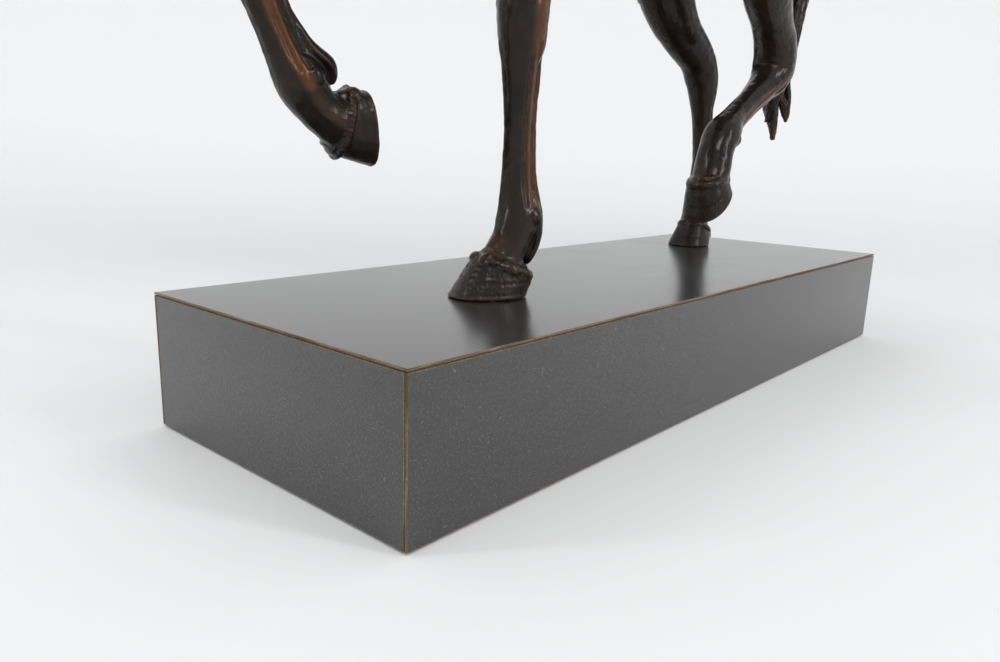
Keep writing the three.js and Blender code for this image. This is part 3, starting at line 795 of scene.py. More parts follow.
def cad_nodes() -> dict[str, bpy.types.Object]:
    """Returns the frame's nodes by name."""
    return FRAME["nodes"]


@dataclass
class Fixings:
    """Studs, washers, nuts, screws, pins, dowel and sleeve that hold the horse together."""

    steel: bpy.types.Material
    bronze: bpy.types.Material

    def dress(self) -> None:
        """Gives each hidden fixing its finish."""
        for foot in ("left_fore", "right_hind"):
            for part in ("stud", "washer", "nut"):
                dress_node(f"{part}_{foot}", self.steel)
        for end in ("front", "middle", "rear"):
            for side in ("left", "right"):
                dress_node(f"screw_{end}_{side}", self.steel)
        for name in ("pin_left_fore", "pin_right_fore", "pin_left_hind", "pin_right_hind", "tail_dowel", "sleeve_body"):
            dress_node(name, self.bronze)


# ---------------------------------------------------------------- lower legs


class Coronet(Enum):
    """How the sculptor treated the hair over the hoof."""

    ROUGH = "rough"
    RIBBED = "ribbed"
    SMOOTH = "smooth"


@dataclass
class Hoof:
    """One hoof: a flared wall, heel bulbs, a band of hair and a dished sole with its frog."""

    sole: Point
    pitch: float
    yaw: float
    coronet: Coronet
    half_length: float = 18.0
    half_width: float = 14.0
    coronet_length: float = 12.0
    coronet_width: float = 11.2
    setback: float = 7.0
    height: float = 13.0
    slope: float = 4.4
    heel: float = 15.5
    flare: float = 1.2

    def matrix(self) -> Matrix:
        """Returns the hoof's place: its own -X is the toe's way and its +Z is up the leg."""
        turn = Matrix.Rotation(-math.radians(self.yaw), 4, "Z") @ Matrix.Rotation(-math.radians(self.pitch), 4, "Y")
        return Matrix.Translation(self.sole) @ turn

    def wall(self, angle: float, down: float, out: float = 0.0, lift: float = 0.0) -> Vector:
        """Returns a point on the wall: angle 0 at the toe, down 0 at the coronet and 1 at the ground."""
        ahead, across = math.cos(angle), math.sin(angle)
        squared = 1.0 + 0.05 * math.sin(2 * angle) ** 2
        length = (self.coronet_length + (self.half_length - self.coronet_length) * down) * squared + out
        width = (self.coronet_width + (self.half_width - self.coronet_width) * down) * squared + out
        if ahead < 0:
            length *= 1.0 - 0.06 * down
        rise = (1 - down) * (self.height + self.slope * ahead) + lift
        return Vector(((1 - down) * self.setback - ahead * length, across * width, rise))

    def add_to(self, casting: Casting) -> None:
        """Adds the hoof's volumes to the leg's casting."""
        place = self.matrix()
        turns = [2 * math.pi * k / 44 for k in range(44)]
        rows: list[tuple[float, float, float]] = [
            (-0.22, -3.0, 0.0), (0.0, -1.4, 0.0), (0.07, -0.3, 0.0), (0.3, 0.0, 0.0), (0.6, 0.0, 0.0),
            (0.85, 0.1, 0.0), (0.96, 0.2, 0.0), (1.0, -0.5, 0.0), (1.0, -2.3, 0.0), (1.0, -3.6, 1.7), (1.0, -7.5, 2.9)]
        casting.skin([[place @ self.wall(a, down, out, lift) for a in turns] for down, out, lift in rows])
        for side in (-1, 1):
            bulb = place @ Vector((self.heel - 1.2, side * 5.2, 9.4))
            low = place @ Vector((self.heel - 2.0, side * 6.4, 5.2))
            casting.mass(tuple(bulb), tuple(low), 4.4)
            casting.mass(tuple(place @ Vector((self.heel - 4.0, side * 4.2, 13.0))), tuple(bulb), 4.4)
        frog = [place @ Vector(p) for p in ((self.heel - 2, 0, 2.6), (6, 0, 2.2), (-3, 0, 2.6), (-7, 0, 3.2))]
        casting.strand(frog, [4.0, 3.4, 2.0, 0.9], 1.1, 10)

    def skirt(self, path: Path, angle: float, share: float, out: float = 0.0) -> Vector:
        """Returns a point where the pastern flares into the hoof: share 0 on the pastern, 1 on the coronet."""
        last = len(path.stations) - 1 - path.origin
        start = last - self.flare
        turn = 1.0 + out / 10.0
        bone = path.spot(start + (last - start) * share, math.cos(angle) * turn, math.sin(angle) * turn)
        return bone.lerp(self.matrix() @ self.wall(angle, 0.02, 0.2 + out), share * share)

    def shelf(self, casting: Casting, path: Path, chance: random.Random) -> None:
        """Adds the flare over the hoof and the soft band of hair that ends it."""
        turns = [2 * math.pi * k / 44 for k in range(44)]
        casting.skin([[self.skirt(path, angle, step / 8) for angle in turns] for step in range(9)])
        rough = self.coronet is Coronet.ROUGH
        points, radii = [], []
        for index in range(49):
            uneven = chance.uniform(-0.5, 0.5) if rough and 0 < index < 48 else 0.0
            points.append(self.skirt(path, 2 * math.pi * index / 48, 0.92 + 0.06 * uneven, -2.5 + 0.5 * uneven))
            radii.append(3.2 + 0.4 * uneven)
        casting.strand(points, radii, 1.0, 12, 2)
        if rough:
            for index in range(22):
                angle = chance.uniform(-2.5, 2.5)
                spot = self.skirt(path, angle, chance.uniform(0.86, 1.0), chance.uniform(-1.5, -0.7))
                casting.mass(tuple(spot), tuple(spot + Vector((0, 0, chance.uniform(0.2, 1.4)))), chance.uniform(1.3, 2.1))
        if self.coronet is Coronet.RIBBED:
            self.ribs(casting, path, chance)

    def ribs(self, casting: Casting, path: Path, chance: random.Random) -> None:
        """Adds short raised hairs side by side over the band."""
        count = 44
        for index in range(count):
            angle = 2 * math.pi * (index + 0.5) / count
            slant = 0.04 + chance.uniform(-0.015, 0.015)
            rows = ((0.50, 0.3, -1), (0.62, 1.2, -0.5), (0.76, 1.7, 0), (0.90, 1.6, 0.5), (1.0, 0.8, 1))
            points = [self.skirt(path, angle + slant * turn, share, out) for share, out, turn in rows]
            casting.strand(points, [0.5, 0.78, 0.85, 0.82, 0.6], 1.0, 7, 3)

    def horn(self, places: np.ndarray) -> tuple[np.ndarray, np.ndarray]:
        """Finds the horn of the hoof.

        Args:
            places: Points in millimetres.

        Returns:
            How much each point is horn, and its height above the sole.
        """
        local = (places - np.array(self.sole)) @ np.array(self.matrix().to_3x3())
        ahead = np.clip((self.setback * 0.5 - local[:, 0]) / 14.0, -1, 1)
        edge = self.height + self.slope * ahead - 1.2
        inside = (np.abs(local[:, 1]) < 19) & (np.abs(local[:, 0]) < 24) & (local[:, 2] > -2)
        return np.clip((edge - local[:, 2]) / 1.4, 0, 1) * inside, local[:, 2]


@dataclass
class Rub:
    """A streak where handling has thinned the patina."""

    start: float
    end: float
    ahead: tuple[float, float]
    across: float
    radius: float
    amount: float


@dataclass
class LowerLeg:
    """A leg below the knee or hock with its hoof, cast in one."""

    name: str
    upper: list[Station]
    lower: list[Station]
    yaw: float
    hoof: Hoof
    hind: bool
    joint: float
    fetlock: float
    look: bpy.types.Material
    seed: int
    lobe: tuple[tuple[float, float, float], ...]
    rubs: list[Rub]
    collar_start: float = -1.3

    def path(self) -> Path:
        """Returns the whole leg's centre line, with place 0 at the top of this casting."""
        return Path(self.upper[:-1] + self.lower, self.yaw, origin=len(self.upper) - 1)

    def build(self, collars: dict[str, bpy.types.Mesh], voxel: float = 0.5) -> bpy.types.Object:
        """Makes the leg.

        Args:
            collars: Receives the stretch above the joint, which belongs to the upper leg.
            voxel: Size of the joining grid in millimetres.

        Returns:
            The leg.
        """
        path = self.path()
        chance = random.Random(self.seed)
        casting = Casting(f"cast_{self.name}")
        self.bones(casting, path)
        self.tendons(casting, path)
        self.ergot(casting, path, chance)
        self.hoof.add_to(casting)
        self.hoof.shelf(casting, path, chance)
        skin = casting.fuse(voxel, 5)
        self.chase(skin, path)
        collars[self.name.replace("lower", "upper")] = self.cut(skin, path, self.collar_start, 0.0)
        made = self.cut(skin, path, 0.0, None)
        made.name = f"cast_{self.name}"
        bpy.data.meshes.remove(skin)
        return place_piece(f"cast_{self.name}", made, [self.look], [self.name])

    def places(self, start: float, end: float, count: int) -> list[float]:
        """Returns evenly spread places between two."""
        return [start + (end - start) * k / (count - 1) for k in range(count)]

    def bones(self, casting: Casting, path: Path) -> None:
        """Adds the joint, the cannon bone, the fetlock and the pastern in one run."""
        last = len(self.lower) - 1
        places = self.places(self.collar_start - 0.5, last + 0.3, 60)
        shaft = Path([self.section(path, t) for t in places], self.yaw)
        casting.limb(shaft, 0, len(shaft.stations) - 1, 30, 1.6)
        if self.hind:
            self.hock(casting, path)
        else:
            self.knee(casting, path)
        foot = self.fetlock
        for side in (-1, 1):
            casting.mass(tuple(path.spot(foot - 0.15, -0.42, side * 0.52)), tuple(path.spot(foot + 0.2, -0.36, side * 0.50)), 5.0)

    def section(self, path: Path, place: float) -> Station:
        """Returns the bone's own section, which leaves the back of the cannon to the tendons."""
        _, _, _, front, back, side = path.row(place)
        centre, ahead, _, _ = path.frame(place)
        rise = min(max((place - self.joint + 0.5) / 1.2, 0), 1)
        fall = min(max((self.fetlock - 0.1 - place) / 0.8, 0), 1)
        slim = (rise * rise * (3 - 2 * rise)) * (fall * fall * (3 - 2 * fall))
        moved = centre + ahead * (front * 0.20 * slim)
        return (*moved, front * (1 - 0.20 * slim), back * (1 - 0.42 * slim), side * (1 - 0.12 * slim))

    def knee(self, casting: Casting, path: Path) -> None:
        """Adds the soft swellings of a knee."""
        low = 0.2
        for row, size in ((low + 0.3, 5.0), (low + 1.2, 4.6)):
            for across in (-0.42, 0.40):
                spot = path.spot(row, 0.52, across)
                casting.mass(tuple(spot), tuple(path.spot(row + 0.35, 0.50, across)), size)
        casting.mass(tuple(path.spot(low + 0.5, -0.52, 0.30)), tuple(path.spot(low + 1.2, -0.58, 0.26)), 4.6)
        for side in (-1, 1):
            casting.mass(tuple(path.spot(low - 0.2, 0.0, side * 0.54)), tuple(path.spot(low + 0.5, 0.0, side * 0.58)), 4.8)

    def hock(self, casting: Casting, path: Path) -> None:
        """Adds the point of the hock and its bony sides."""
        casting.mass(tuple(path.spot(-0.3, -0.50, 0.0)), tuple(path.spot(1.0, -0.58, 0.0)), 5.4)
        for side in (-1, 1):
            casting.mass(tuple(path.spot(0.6, 0.15, side * 0.50)), tuple(path.spot(1.3, 0.05, side * 0.52)), 5.8)
            casting.mass(tuple(path.spot(1.7, 0.1, side * 0.50)), tuple(path.spot(2.3, 0.0, side * 0.48)), 4.6)
        casting.mass(tuple(path.spot(0.9, 0.45, 0.0)), tuple(path.spot(1.9, 0.42, 0.0)), 5.0)

    def tendons(self, casting: Casting, path: Path) -> None:
        """Adds the tendons behind the cannon bone and over its front."""
        start, end = self.joint - 0.9, self.fetlock + 0.1
        reach = self.places(start, end, 10)
        back = [path.spot(t, -0.64, 0.0) for t in reach]
        casting.strand(back, [0.36 * path.row(t)[4] for t in reach], 1.15, 16)
        for side in (-1, 1):
            points = [path.spot(t, -0.20, side * 0.58) for t in reach]
            casting.strand(points, [0.29 * path.row(t)[5] for t in reach], 1.0, 12)
        front = [path.spot(t, 0.80, 0.10) for t in self.places(start + 0.3, end + 1.0, 8)]
        casting.strand(front, [2.0, 1.8, 1.8, 1.7, 1.7, 1.8, 2.0, 1.6], 1.5, 10)

    def ergot(self, casting: Casting, path: Path, chance: random.Random) -> None:
        """Adds the lobe of hair that hangs behind the fetlock."""
        points = [path.spot(t, ahead, 0.0) for t, ahead, _ in self.lobe]
        radii = [radius for _, _, radius in self.lobe]
        casting.strand(points, radii, 1.35, 14, 5)
        _, _, across, along = path.frame(self.fetlock + 0.3)
        for index in range(9):
            share = (index - 4) / 4
            line = []
            for (t, ahead, radius), lag in zip(self.lobe, (0.2, 0.9, 1.0, 0.9, 0.5)):
                bow = math.sqrt(max(1 - share * share, 0.05))
                out = path.spot(t, ahead, 0.0) + across * share * radius * 1.3 * lag
                behind = -path.frame(t)[1] * radius * 0.80 * bow * lag
                line.append(out + behind + along * chance.uniform(-0.6, 0.6))
            casting.strand(line, [0.7, 1.05, 1.1, 0.9, 0.5], 1.0, 7, 4)

    def chase(self, skin: bpy.types.Mesh, path: Path) -> None:
        """Chases grooves into the leg, pits the hoof and keeps the rubbed places."""
        chaser = Chaser(skin)
        start, end = self.joint - 0.5, self.fetlock - 0.3
        for side in (-1, 1):
            for ahead, depth in ((-0.42, 0.9), (0.0, 0.55)):
                points = [path.spot(t, ahead, side * 0.9) for t in self.places(start, end, 9)]
                chaser.press(points, 1.9, depth)
        horn, height = self.hoof.horn(chaser.places)
        chaser.ripple(11.0, 0.30, 1 - horn * 0.6, self.seed)
        chaser.ripple(3.2, 0.09, None, self.seed + 3.0)
        rough = 1.0 if self.hoof.coronet is Coronet.ROUGH else 0.25
        rings = np.sin(height * 2 * math.pi / 2.6) * 0.05 + np.sin(height * 2 * math.pi / 4.3 + 1.0) * 0.07
        chaser.places += chaser.normals * (rings * horn * (0.4 + 0.6 * rough))[:, None]
        pits = np.array([max(noise.noise(Vector(p) / 1.3) - 0.34, 0.0) for p in chaser.places])
        chaser.places -= chaser.normals * (pits * horn * 2.2 * rough)[:, None]
        chaser.finish(0.62, 24)
        chaser.keep("horn", horn)
        rub = np.zeros(len(chaser.places))
        for streak in self.rubs:
            places = self.places(streak.start, streak.end, 9)
            low, high = streak.ahead
            line = [path.spot(t, low + (high - low) * k / 8, streak.across) for k, t in enumerate(places)]
            fall = np.clip(1 - chaser.distance(line) / streak.radius, 0, 1)
            rub = np.maximum(rub, np.clip(fall * 1.9, 0, 1) * streak.amount)
        rim = np.clip(1 - np.abs(height - 0.4) / 0.9, 0, 1) * np.clip(horn * 2, 0, 1)
        chaser.keep("rubbed", np.maximum(rub, rim * 0.16))

    def cut(self, skin: bpy.types.Mesh, path: Path, start: float, end: float | None) -> bpy.types.Mesh:
        """Returns the closed stretch of the skin between two places, or from start to the foot."""
        mesh = bmesh.new()
        mesh.from_mesh(skin)
        for place, way in ((start, -1.0), (end, 1.0)):
            if place is not None:
                centre, _, _, along = path.frame(place)
                bmesh.ops.bisect_plane(mesh, geom=[*mesh.verts, *mesh.edges, *mesh.faces], dist=1e-7,
                                       plane_co=centre * MM, plane_no=along * way, clear_outer=True)
        shade(mesh)
        close_cuts(mesh)
        data = bpy.data.meshes.new(self.name)
        mesh.to_mesh(data)
        mesh.free()
        return data


# ---------------------------------------------------------------- body, neck, head and upper legs


@dataclass
class UpperLeg:
    """The part of a leg above the knee or hock, and the planes that part it from the body."""

    name: str
    stations: list[Station]
    lower: list[Station]
    yaw: float
    cuts: list[Cut]
    collar_start: float = -1.3

    def path(self) -> Path:
        """Returns the whole leg's centre line."""
        return Path(self.stations[:-1] + self.lower, self.yaw)

    def end(self) -> float:
        """Returns the place where the finer stretch above the joint takes over."""
        return len(self.stations) - 1 + self.collar_start


@dataclass
class UpperBody:
    """The trunk, neck, head and upper legs: chased into one surface, then parted at the real joints."""

    look: bpy.types.Material
    trunk: list[Station]
    neck: list[Station]
    head: list[Station]
    uppers: list[UpperLeg]
    collars: dict[str, bpy.types.Mesh]
    seam_x: float = 40.0

    def build(self, voxel: float = 1.25) -> None:
        """Makes the eight castings of the upper body."""
        casting = Casting("upper_body")
        trunk, neck = Path(self.trunk, upright=True), Path(self.neck)
        casting.limb(trunk, 0, len(self.trunk) - 1, 40, 5.0)
        casting.limb(neck, 0, len(self.neck) - 1, 36, 4.0)
        casting.limb(Path(self.head), 0, len(self.head) - 1, 32, 2.5)
        for upper in self.uppers:
            casting.limb(upper.path(), 0, upper.end() + 0.5, 36, 4.0, 1.04)
        self.muscles(casting)
        self.face(casting)
        skin = casting.fuse(voxel, 7)
        self.chase(skin)
        self.part(skin)

    def muscles(self, casting: Casting) -> None:
        """Adds the large muscles and the bones that stand out."""
        for side in (-1, 1):
            for start, end, radius, depth in (
                ((-62, 30, 428), (-128, 42, 352), 17, 20), ((-84, 47, 372), (-112, 41, 318), 17, 21),
                ((-58, 46, 372), (-88, 44, 330), 15, 18), ((-140, 20, 366), (-136, 22, 318), 17, 18),
                ((-95, 12, 432), (5, 15, 421), 15, 14), ((5, 15, 421), (105, 18, 427), 16, 13),
                ((98, 38, 416), (112, 44, 390), 12, 14), ((118, 26, 424), (196, 26, 420), 25, 21),
                ((224, 26, 404), (205, 38, 330), 19, 17), ((190, 40, 392), (168, 50, 330), 23, 17),
                ((124, 46, 372), (112, 48, 320), 19, 15), ((-30, 48, 372), (60, 50, 352), 26, 12),
                ((-118, 15, 404), (-190, 7, 466), 13, 14), ((-100, 26, 392), (-142, 18, 418), 15, 14),
            ):
                casting.mass((start[0], side * start[1], start[2]), (end[0], side * end[1], end[2]), radius, depth)
        for upper in self.uppers:
            path = upper.path()
            last = len(upper.stations) - 1
            outward = -1 if upper.stations[0][1] < 0 else 1
            for start, end, ahead, across, radius in (
                (1.2, last - 1.4, 0.45, 0.30, 0.50), (1.6, last - 0.9, -0.30, 0.42, 0.44), (1.4, last - 1.8, -0.55, -0.1, 0.42)):
                low, high = path.spot(start, ahead, across * outward), path.spot(end, ahead * 0.7, across * outward)
                casting.mass(tuple(low), tuple(high), radius * path.row((start + end) / 2)[5])

    def face(self, casting: Casting) -> None:
        """Adds the ears, cheeks, brows, eyes, nose and lips."""
        for side in (-1, 1):
            casting.mass((-236, side * 15, 500), (-250, side * 17, 476), 12.5, 9)
            casting.mass((-262, side * 17.5, 500), (-256, side * 16, 507), 4.6)
            casting.mass((-262.5, side * 18.4, 495.5), (-261.5, side * 18.4, 496.5), 4.5)
            casting.strand([Vector((-270, side * 12, 488)), Vector((-266, side * 19.5, 492)), Vector((-259, side * 21.5, 495)),
                            Vector((-253, side * 18, 494))], [1.2, 1.9, 1.7, 0.9], 1.0, 8)
            casting.strand([Vector((-254, side * 20, 482)), Vector((-266, side * 18, 462)), Vector((-276, side * 14, 444))],
                           [2.4, 2.6, 1.2], 1.0, 8)
            casting.mass((-294, side * 8.5, 423), (-296.6, side * 8.8, 414), 5.2)
            casting.mass((-285, side * 7.0, 404), (-292, side * 5.5, 400.5), 5.0)
            self.ear(casting, side)
        casting.mass((-281, 0, 402), (-287, 0, 401), 6.0)
        locks = random.Random(41)
        for index in range(7):
            lean = (index - 3) / 3
            start = Vector((-224, lean * 4, 528))
            end = Vector((-262 - 5 * (1 - abs(lean)), lean * 8 + locks.uniform(-1.5, 1.5), 500 - 8 * (1 - abs(lean))))
            middle = (start + end) / 2 + Vector((-4, lean * 3, 6))
            casting.strand([start, middle, end], [3.0, 2.6, 0.9], 1.1, 8, 5)

    def ear(self, casting: Casting, side: int) -> None:
        """Adds one pricked ear with its hollow."""
        rings = []
        for step in range(11):
            t = step / 10
            centre = Vector((-222 - 3.5 * t, side * (10.5 + 4.0 * t), 514 + 35.0 * t))
            wide = (5.8 + 2.6 * math.sin(math.pi * min(t * 1.25, 1.0))) * (1 - t**3 * 0.92)
            ring = []
            for k in range(20):
                angle = 2 * math.pi * k / 20
                cup = 1 - 0.80 * max(math.cos(angle), 0) ** 2 * min(t * 4, 1) * (1 - t * 0.4)
                ring.append(centre + Vector((-math.cos(angle) * 0.8 * cup, side * (math.cos(angle) * 0.25 * cup), 0)) * wide
                            + Vector((0, math.sin(angle) * wide, 0)))
            rings.append(ring)
        casting.skin(rings)

    def chase(self, skin: bpy.types.Mesh) -> None:
        """Presses the grooves, nostrils, mouth and ribs, and stores the masks."""
        chaser = Chaser(skin)
        for side in (-1, 1):
            for points, radius, depth in (
                ([(-299, 8.2, 419), (-297, 10.2, 424)], 4.2, 3.4), ([(-300, 4, 405), (-288, 8, 409), (-280, 12, 416)], 2.4, 1.5),
                ([(-100, 42, 398), (-128, 34, 412), (-176, 20, 448)], 9, 2.2), ([(-176, 18, 436), (-148, 26, 404), (-132, 26, 372)], 8, 3.0),
                ([(-60, 56, 400), (-74, 60, 350), (-84, 52, 312)], 9, 2.4), ([(150, 58, 410), (182, 60, 360), (176, 52, 310)], 9, 2.2),
                ([(216, 44, 400), (208, 52, 350), (186, 50, 300)], 8, 1.8), ([(104, 58, 380), (92, 60, 340), (90, 50, 300)], 10, 2.6),
                ([(-12, 62, 392), (-4, 66, 350), (6, 58, 310)], 8, 0.7), ([(14, 62, 392), (22, 66, 350), (32, 58, 310)], 8, 0.7),
                ([(40, 62, 390), (48, 66, 350), (56, 58, 312)], 8, 0.6), ([(-244, 24, 470), (-232, 20, 488), (-226, 14, 504)], 6, 1.6),
                ([(-274, 8, 470), (-284, 7, 444)], 7, 1.3), ([(-266, 19, 499), (-258, 20, 499)], 2.4, 1.1),
            ):
                chaser.press([Vector((x, side * y, z)) for x, y, z in points], radius, depth)
        chaser.press([Vector((-10, 0, 450)), Vector((120, 0, 445)), Vector((215, 0, 444))], 9, 2.2)
        chaser.ripple(34.0, 1.1, None, 5.0)
        chaser.ripple(7.0, 0.30, None, 9.0)
        chaser.finish(1.3, 30)
        chaser.keep("horn", np.zeros(len(chaser.places)))
        chaser.keep("rubbed", self.rubbed(chaser))

    def rubbed(self, chaser: Chaser) -> np.ndarray:
        """Returns where hands and cloths have thinned the patina."""
        rub = np.zeros(len(chaser.places))
        for line, radius, amount in (
            ([(-40, 0, 448), (60, 0, 440)], 34, 0.35), ([(150, 20, 452), (205, 15, 442)], 30, 0.45),
            ([(150, -20, 452), (205, -15, 442)], 30, 0.45), ([(-250, 0, 512), (-286, 0, 436)], 14, 0.5),
            ([(-106, -45, 300), (-108, -40, 230)], 16, 0.5), ([(-130, 45, 300), (-186, 36, 236)], 15, 0.45),
            ([(90, -66, 300), (106, -50, 232)], 18, 0.4), ([(112, 66, 300), (120, 56, 236)], 18, 0.4),
            ([(-150, 0, 360), (-150, 0, 330)], 22, 0.4)):
            fall = np.clip(1 - chaser.distance([Vector(p) for p in line]) / radius, 0, 1)
            rub = np.maximum(rub, fall * amount)
        return rub

    def regions(self) -> list[tuple[str, list[Cut]]]:
        """Returns the castings in the order that they are taken off, each with the planes that it lies beyond."""
        made: list[tuple[str, list[Cut]]] = [
            ("head", [((-182, 0, 456), (-0.645, 0, 0.764))]),
            ("neck", [((-108, 0, 394), (-0.70, 0, 0.714))])]
        made += [(upper.name, upper.cuts) for upper in self.uppers]
        made += [("forequarters", [((self.seam_x, 0, 0), (-1, 0, 0))]), ("hindquarters", [((self.seam_x, 0, 0), (1, 0, 0))])]
        return made

    def part(self, skin: bpy.types.Mesh) -> None:
        """Cuts the surface along the joints and makes a closed casting of each region."""
        mesh = bmesh.new()
        mesh.from_mesh(skin)
        shade(mesh)
        for upper in self.uppers:
            self.shorten(mesh, upper)
        tag = mesh.faces.layers.int.new("casting")
        regions = self.regions()
        for number, (_, cuts) in enumerate(regions, 1):
            for point, normal in cuts:
                free = [face for face in mesh.faces if face[tag] == 0 and self.beyond(face, cuts, 12.0)]
                geometry = {item for face in free for item in (face, *face.edges, *face.verts)}
                if geometry:
                    bmesh.ops.bisect_plane(mesh, geom=list(geometry), dist=1e-7, plane_co=Vector(point) * MM,
                                           plane_no=Vector(normal).normalized())
            for face in mesh.faces:
                if face[tag] == 0 and self.beyond(face, cuts, 0.0):
                    face[tag] = number
        for number, (name, _) in enumerate(regions, 1):
            self.take(mesh, number, name)
        mesh.free()

    def beyond(self, face: bmesh.types.BMFace, cuts: list[Cut], slack: float) -> bool:
        """Tells whether a face lies beyond every plane, give or take the slack in millimetres."""
        centre = face.calc_center_median() / MM
        return all((centre - Vector(point)).dot(Vector(normal).normalized()) > -slack for point, normal in cuts)

    def shorten(self, mesh: bmesh.types.BMesh, upper: UpperLeg) -> None:
        """Cuts an upper leg square where its lower part begins."""
        centre, _, _, along = upper.path().frame(upper.end())
        near = [face for face in mesh.faces if (face.calc_center_median() / MM - centre).length < 45]
        geometry = {item for face in near for item in (face, *face.edges, *face.verts)}
        bmesh.ops.bisect_plane(mesh, geom=list(geometry), dist=1e-7, plane_co=centre * MM, plane_no=along, clear_outer=True)

    def take(self, mesh: bmesh.types.BMesh, number: int, name: str) -> None:
        """Makes one casting from the faces that carry its number."""
        part = mesh.copy()
        tag = part.faces.layers.int["casting"]
        bmesh.ops.delete(part, geom=[face for face in part.faces if face[tag] != number], context="FACES")
        close_cuts(part)
        if name in self.collars:
            part.from_mesh(self.collars[name])
        data = bpy.data.meshes.new(name)
        part.to_mesh(data)
        part.free()
        place_piece(f"cast_{name}", data, [self.look], [name])


# ---------------------------------------------------------------- hair


@dataclass
class Hair:
    """The mane's locks and the long tail."""

    look: bpy.types.Material
    tail: list[Station]
    crest: list[Point]

    def build(self) -> None:
        """Makes the mane and the tail."""
        self.mane()
        self.plait()

    def mane(self) -> bpy.types.Object:
        """Makes the locks that lie along the crest and returns them."""
        chance = random.Random(7)
        casting = Casting("mane_locks")
        count = 30
        rows = [(*p,) for p in self.crest]
        for index in range(count):
            place = (len(rows) - 1) * (index + 0.3) / count
            root = Vector(spline(rows, place))
            ahead = Vector(spline(rows, min(place + 0.2, len(rows) - 1.0)))
            way = (ahead - root).normalized()
            lift = Vector((way.z, 0, -way.x))
            if lift.z < 0:
                lift = -lift
            side = 1 if index % 3 else -1
            length = chance.uniform(24, 34)
            points = [root - lift * 7, root + lift * 2.5 - way * 1.5,
                      root + Vector((0, side * 9.5, 0)) - lift * 2.5 - way * chance.uniform(3, 6),
                      root + Vector((0, side * 17, 0)) - lift * length * 0.42 - way * chance.uniform(7, 11),
                      root + Vector((0, side * 21.5, 0)) - lift * length * 0.8 - way * chance.uniform(10, 17)]
            casting.strand(points, [3.4, 4.4, 4.0, 2.9, 0.8], 0.8, 9, 5)
        skin = casting.fuse(0.85, 3)
        return self.finish(skin, "mane_locks", 4.0, [])

    def plait(self) -> bpy.types.Object:
        """Makes the tail from long locks that end in separate tips and returns it."""
        chance = random.Random(23)
        casting = Casting("tail")
        path = Path(self.tail)
        last = len(self.tail) - 1
        casting.limb(path, 0, last - 3.6, 20, 4.0, 0.70)
        tips = ((232, 7, 138, 4.0, 5), (246, 3.5, 152, 2.6, 4), (226, 12, 151, 2.2, 3), (236, 1, 163, 2.4, 3),
                (244, 14, 176, 2.4, 3), (230, 16, 170, 2.2, 3), (246, 6, 196, 2.4, 3), (229, 4, 186, 2.2, 3))
        for number, (x, y, z, girth, strands) in enumerate(tips):
            turn = 2.4 * number + 0.6
            for strand in range(strands):
                spread = turn + (strand - strands / 2) * 0.42
                start = chance.uniform(0.2, 1.4)
                leave = last - 2.2 - 0.35 * chance.random() - (z - 138) / 40
                points, radii = [], []
                for step in range(12):
                    t = step / 11
                    place = start + (leave - start) * t
                    angle = spread + 0.30 * math.sin(1.3 * number + t * 6.0) + 0.35 * t
                    reach = 0.66 + 0.07 * math.sin(number + strand * 2.0 + t * 9.0)
                    points.append(path.spot(place, math.cos(angle) * reach, math.sin(angle) * reach))
                    radii.append(1.1 + (0.18 * path.row(place)[5] + 0.3) * math.sin(math.pi * (0.1 + 0.7 * t)))
                base, goal = points[-1], Vector((x, y, z)) + Vector((strand - strands / 2, 0, 1.5 * strand)) * 0.8
                for share, size in ((0.35, 1.0), (0.7, 0.85), (0.92, 0.65), (1.0, 0.45)):
                    sway = Vector((math.sin(share * 5 + number), math.cos(share * 4 + number), 0)) * 1.2 * (1 - share)
                    points.append(base.lerp(goal, share) + sway)
                    radii.append(girth * size)
                casting.strand(points, radii, 0.9, 8, 3)
        skin = casting.fuse(0.7, 2)
        return self.finish(skin, "cast_tail", 3.0, ["tail"])

    def finish(self, skin: bpy.types.Mesh, name: str, scale: float, nodes: list[str]) -> bpy.types.Object:
        """Chases the hair and returns the piece."""
        chaser = Chaser(skin)
        chaser.ripple(scale, 0.30, None, 2.0)
        chaser.finish(0.6, 18)
        chaser.keep("horn", np.zeros(len(chaser.places)))
        chaser.keep("rubbed", np.zeros(len(chaser.places)))
        mesh = bmesh.new()
        mesh.from_mesh(skin)
        shade(mesh)
        mesh.to_mesh(skin)
        mesh.free()
        return place_piece(name, skin, [self.look], nodes)


# ---------------------------------------------------------------- studio


@dataclass(frozen=True)
class Softbox:
    """One large soft light."""

    name: str
    place: Point
    width: float
    height: float
    power: float

    def build(self) -> None:
        """Hangs the light and turns it to the horse."""
        data = bpy.data.lights.new(self.name, "AREA")
        data.shape, data.size, data.size_y, data.energy = "RECTANGLE", self.width, self.height, self.power
        lamp = bpy.data.objects.new(self.name, data)
        lamp.location = self.place
        lamp.rotation_mode = "QUATERNION"
        lamp.rotation_quaternion = (Vector((0, 0, 0.15)) - Vector(self.place)).to_track_quat("-Z", "Y")
        lamp.visible_camera = False
        bpy.context.scene.collection.objects.link(lamp)


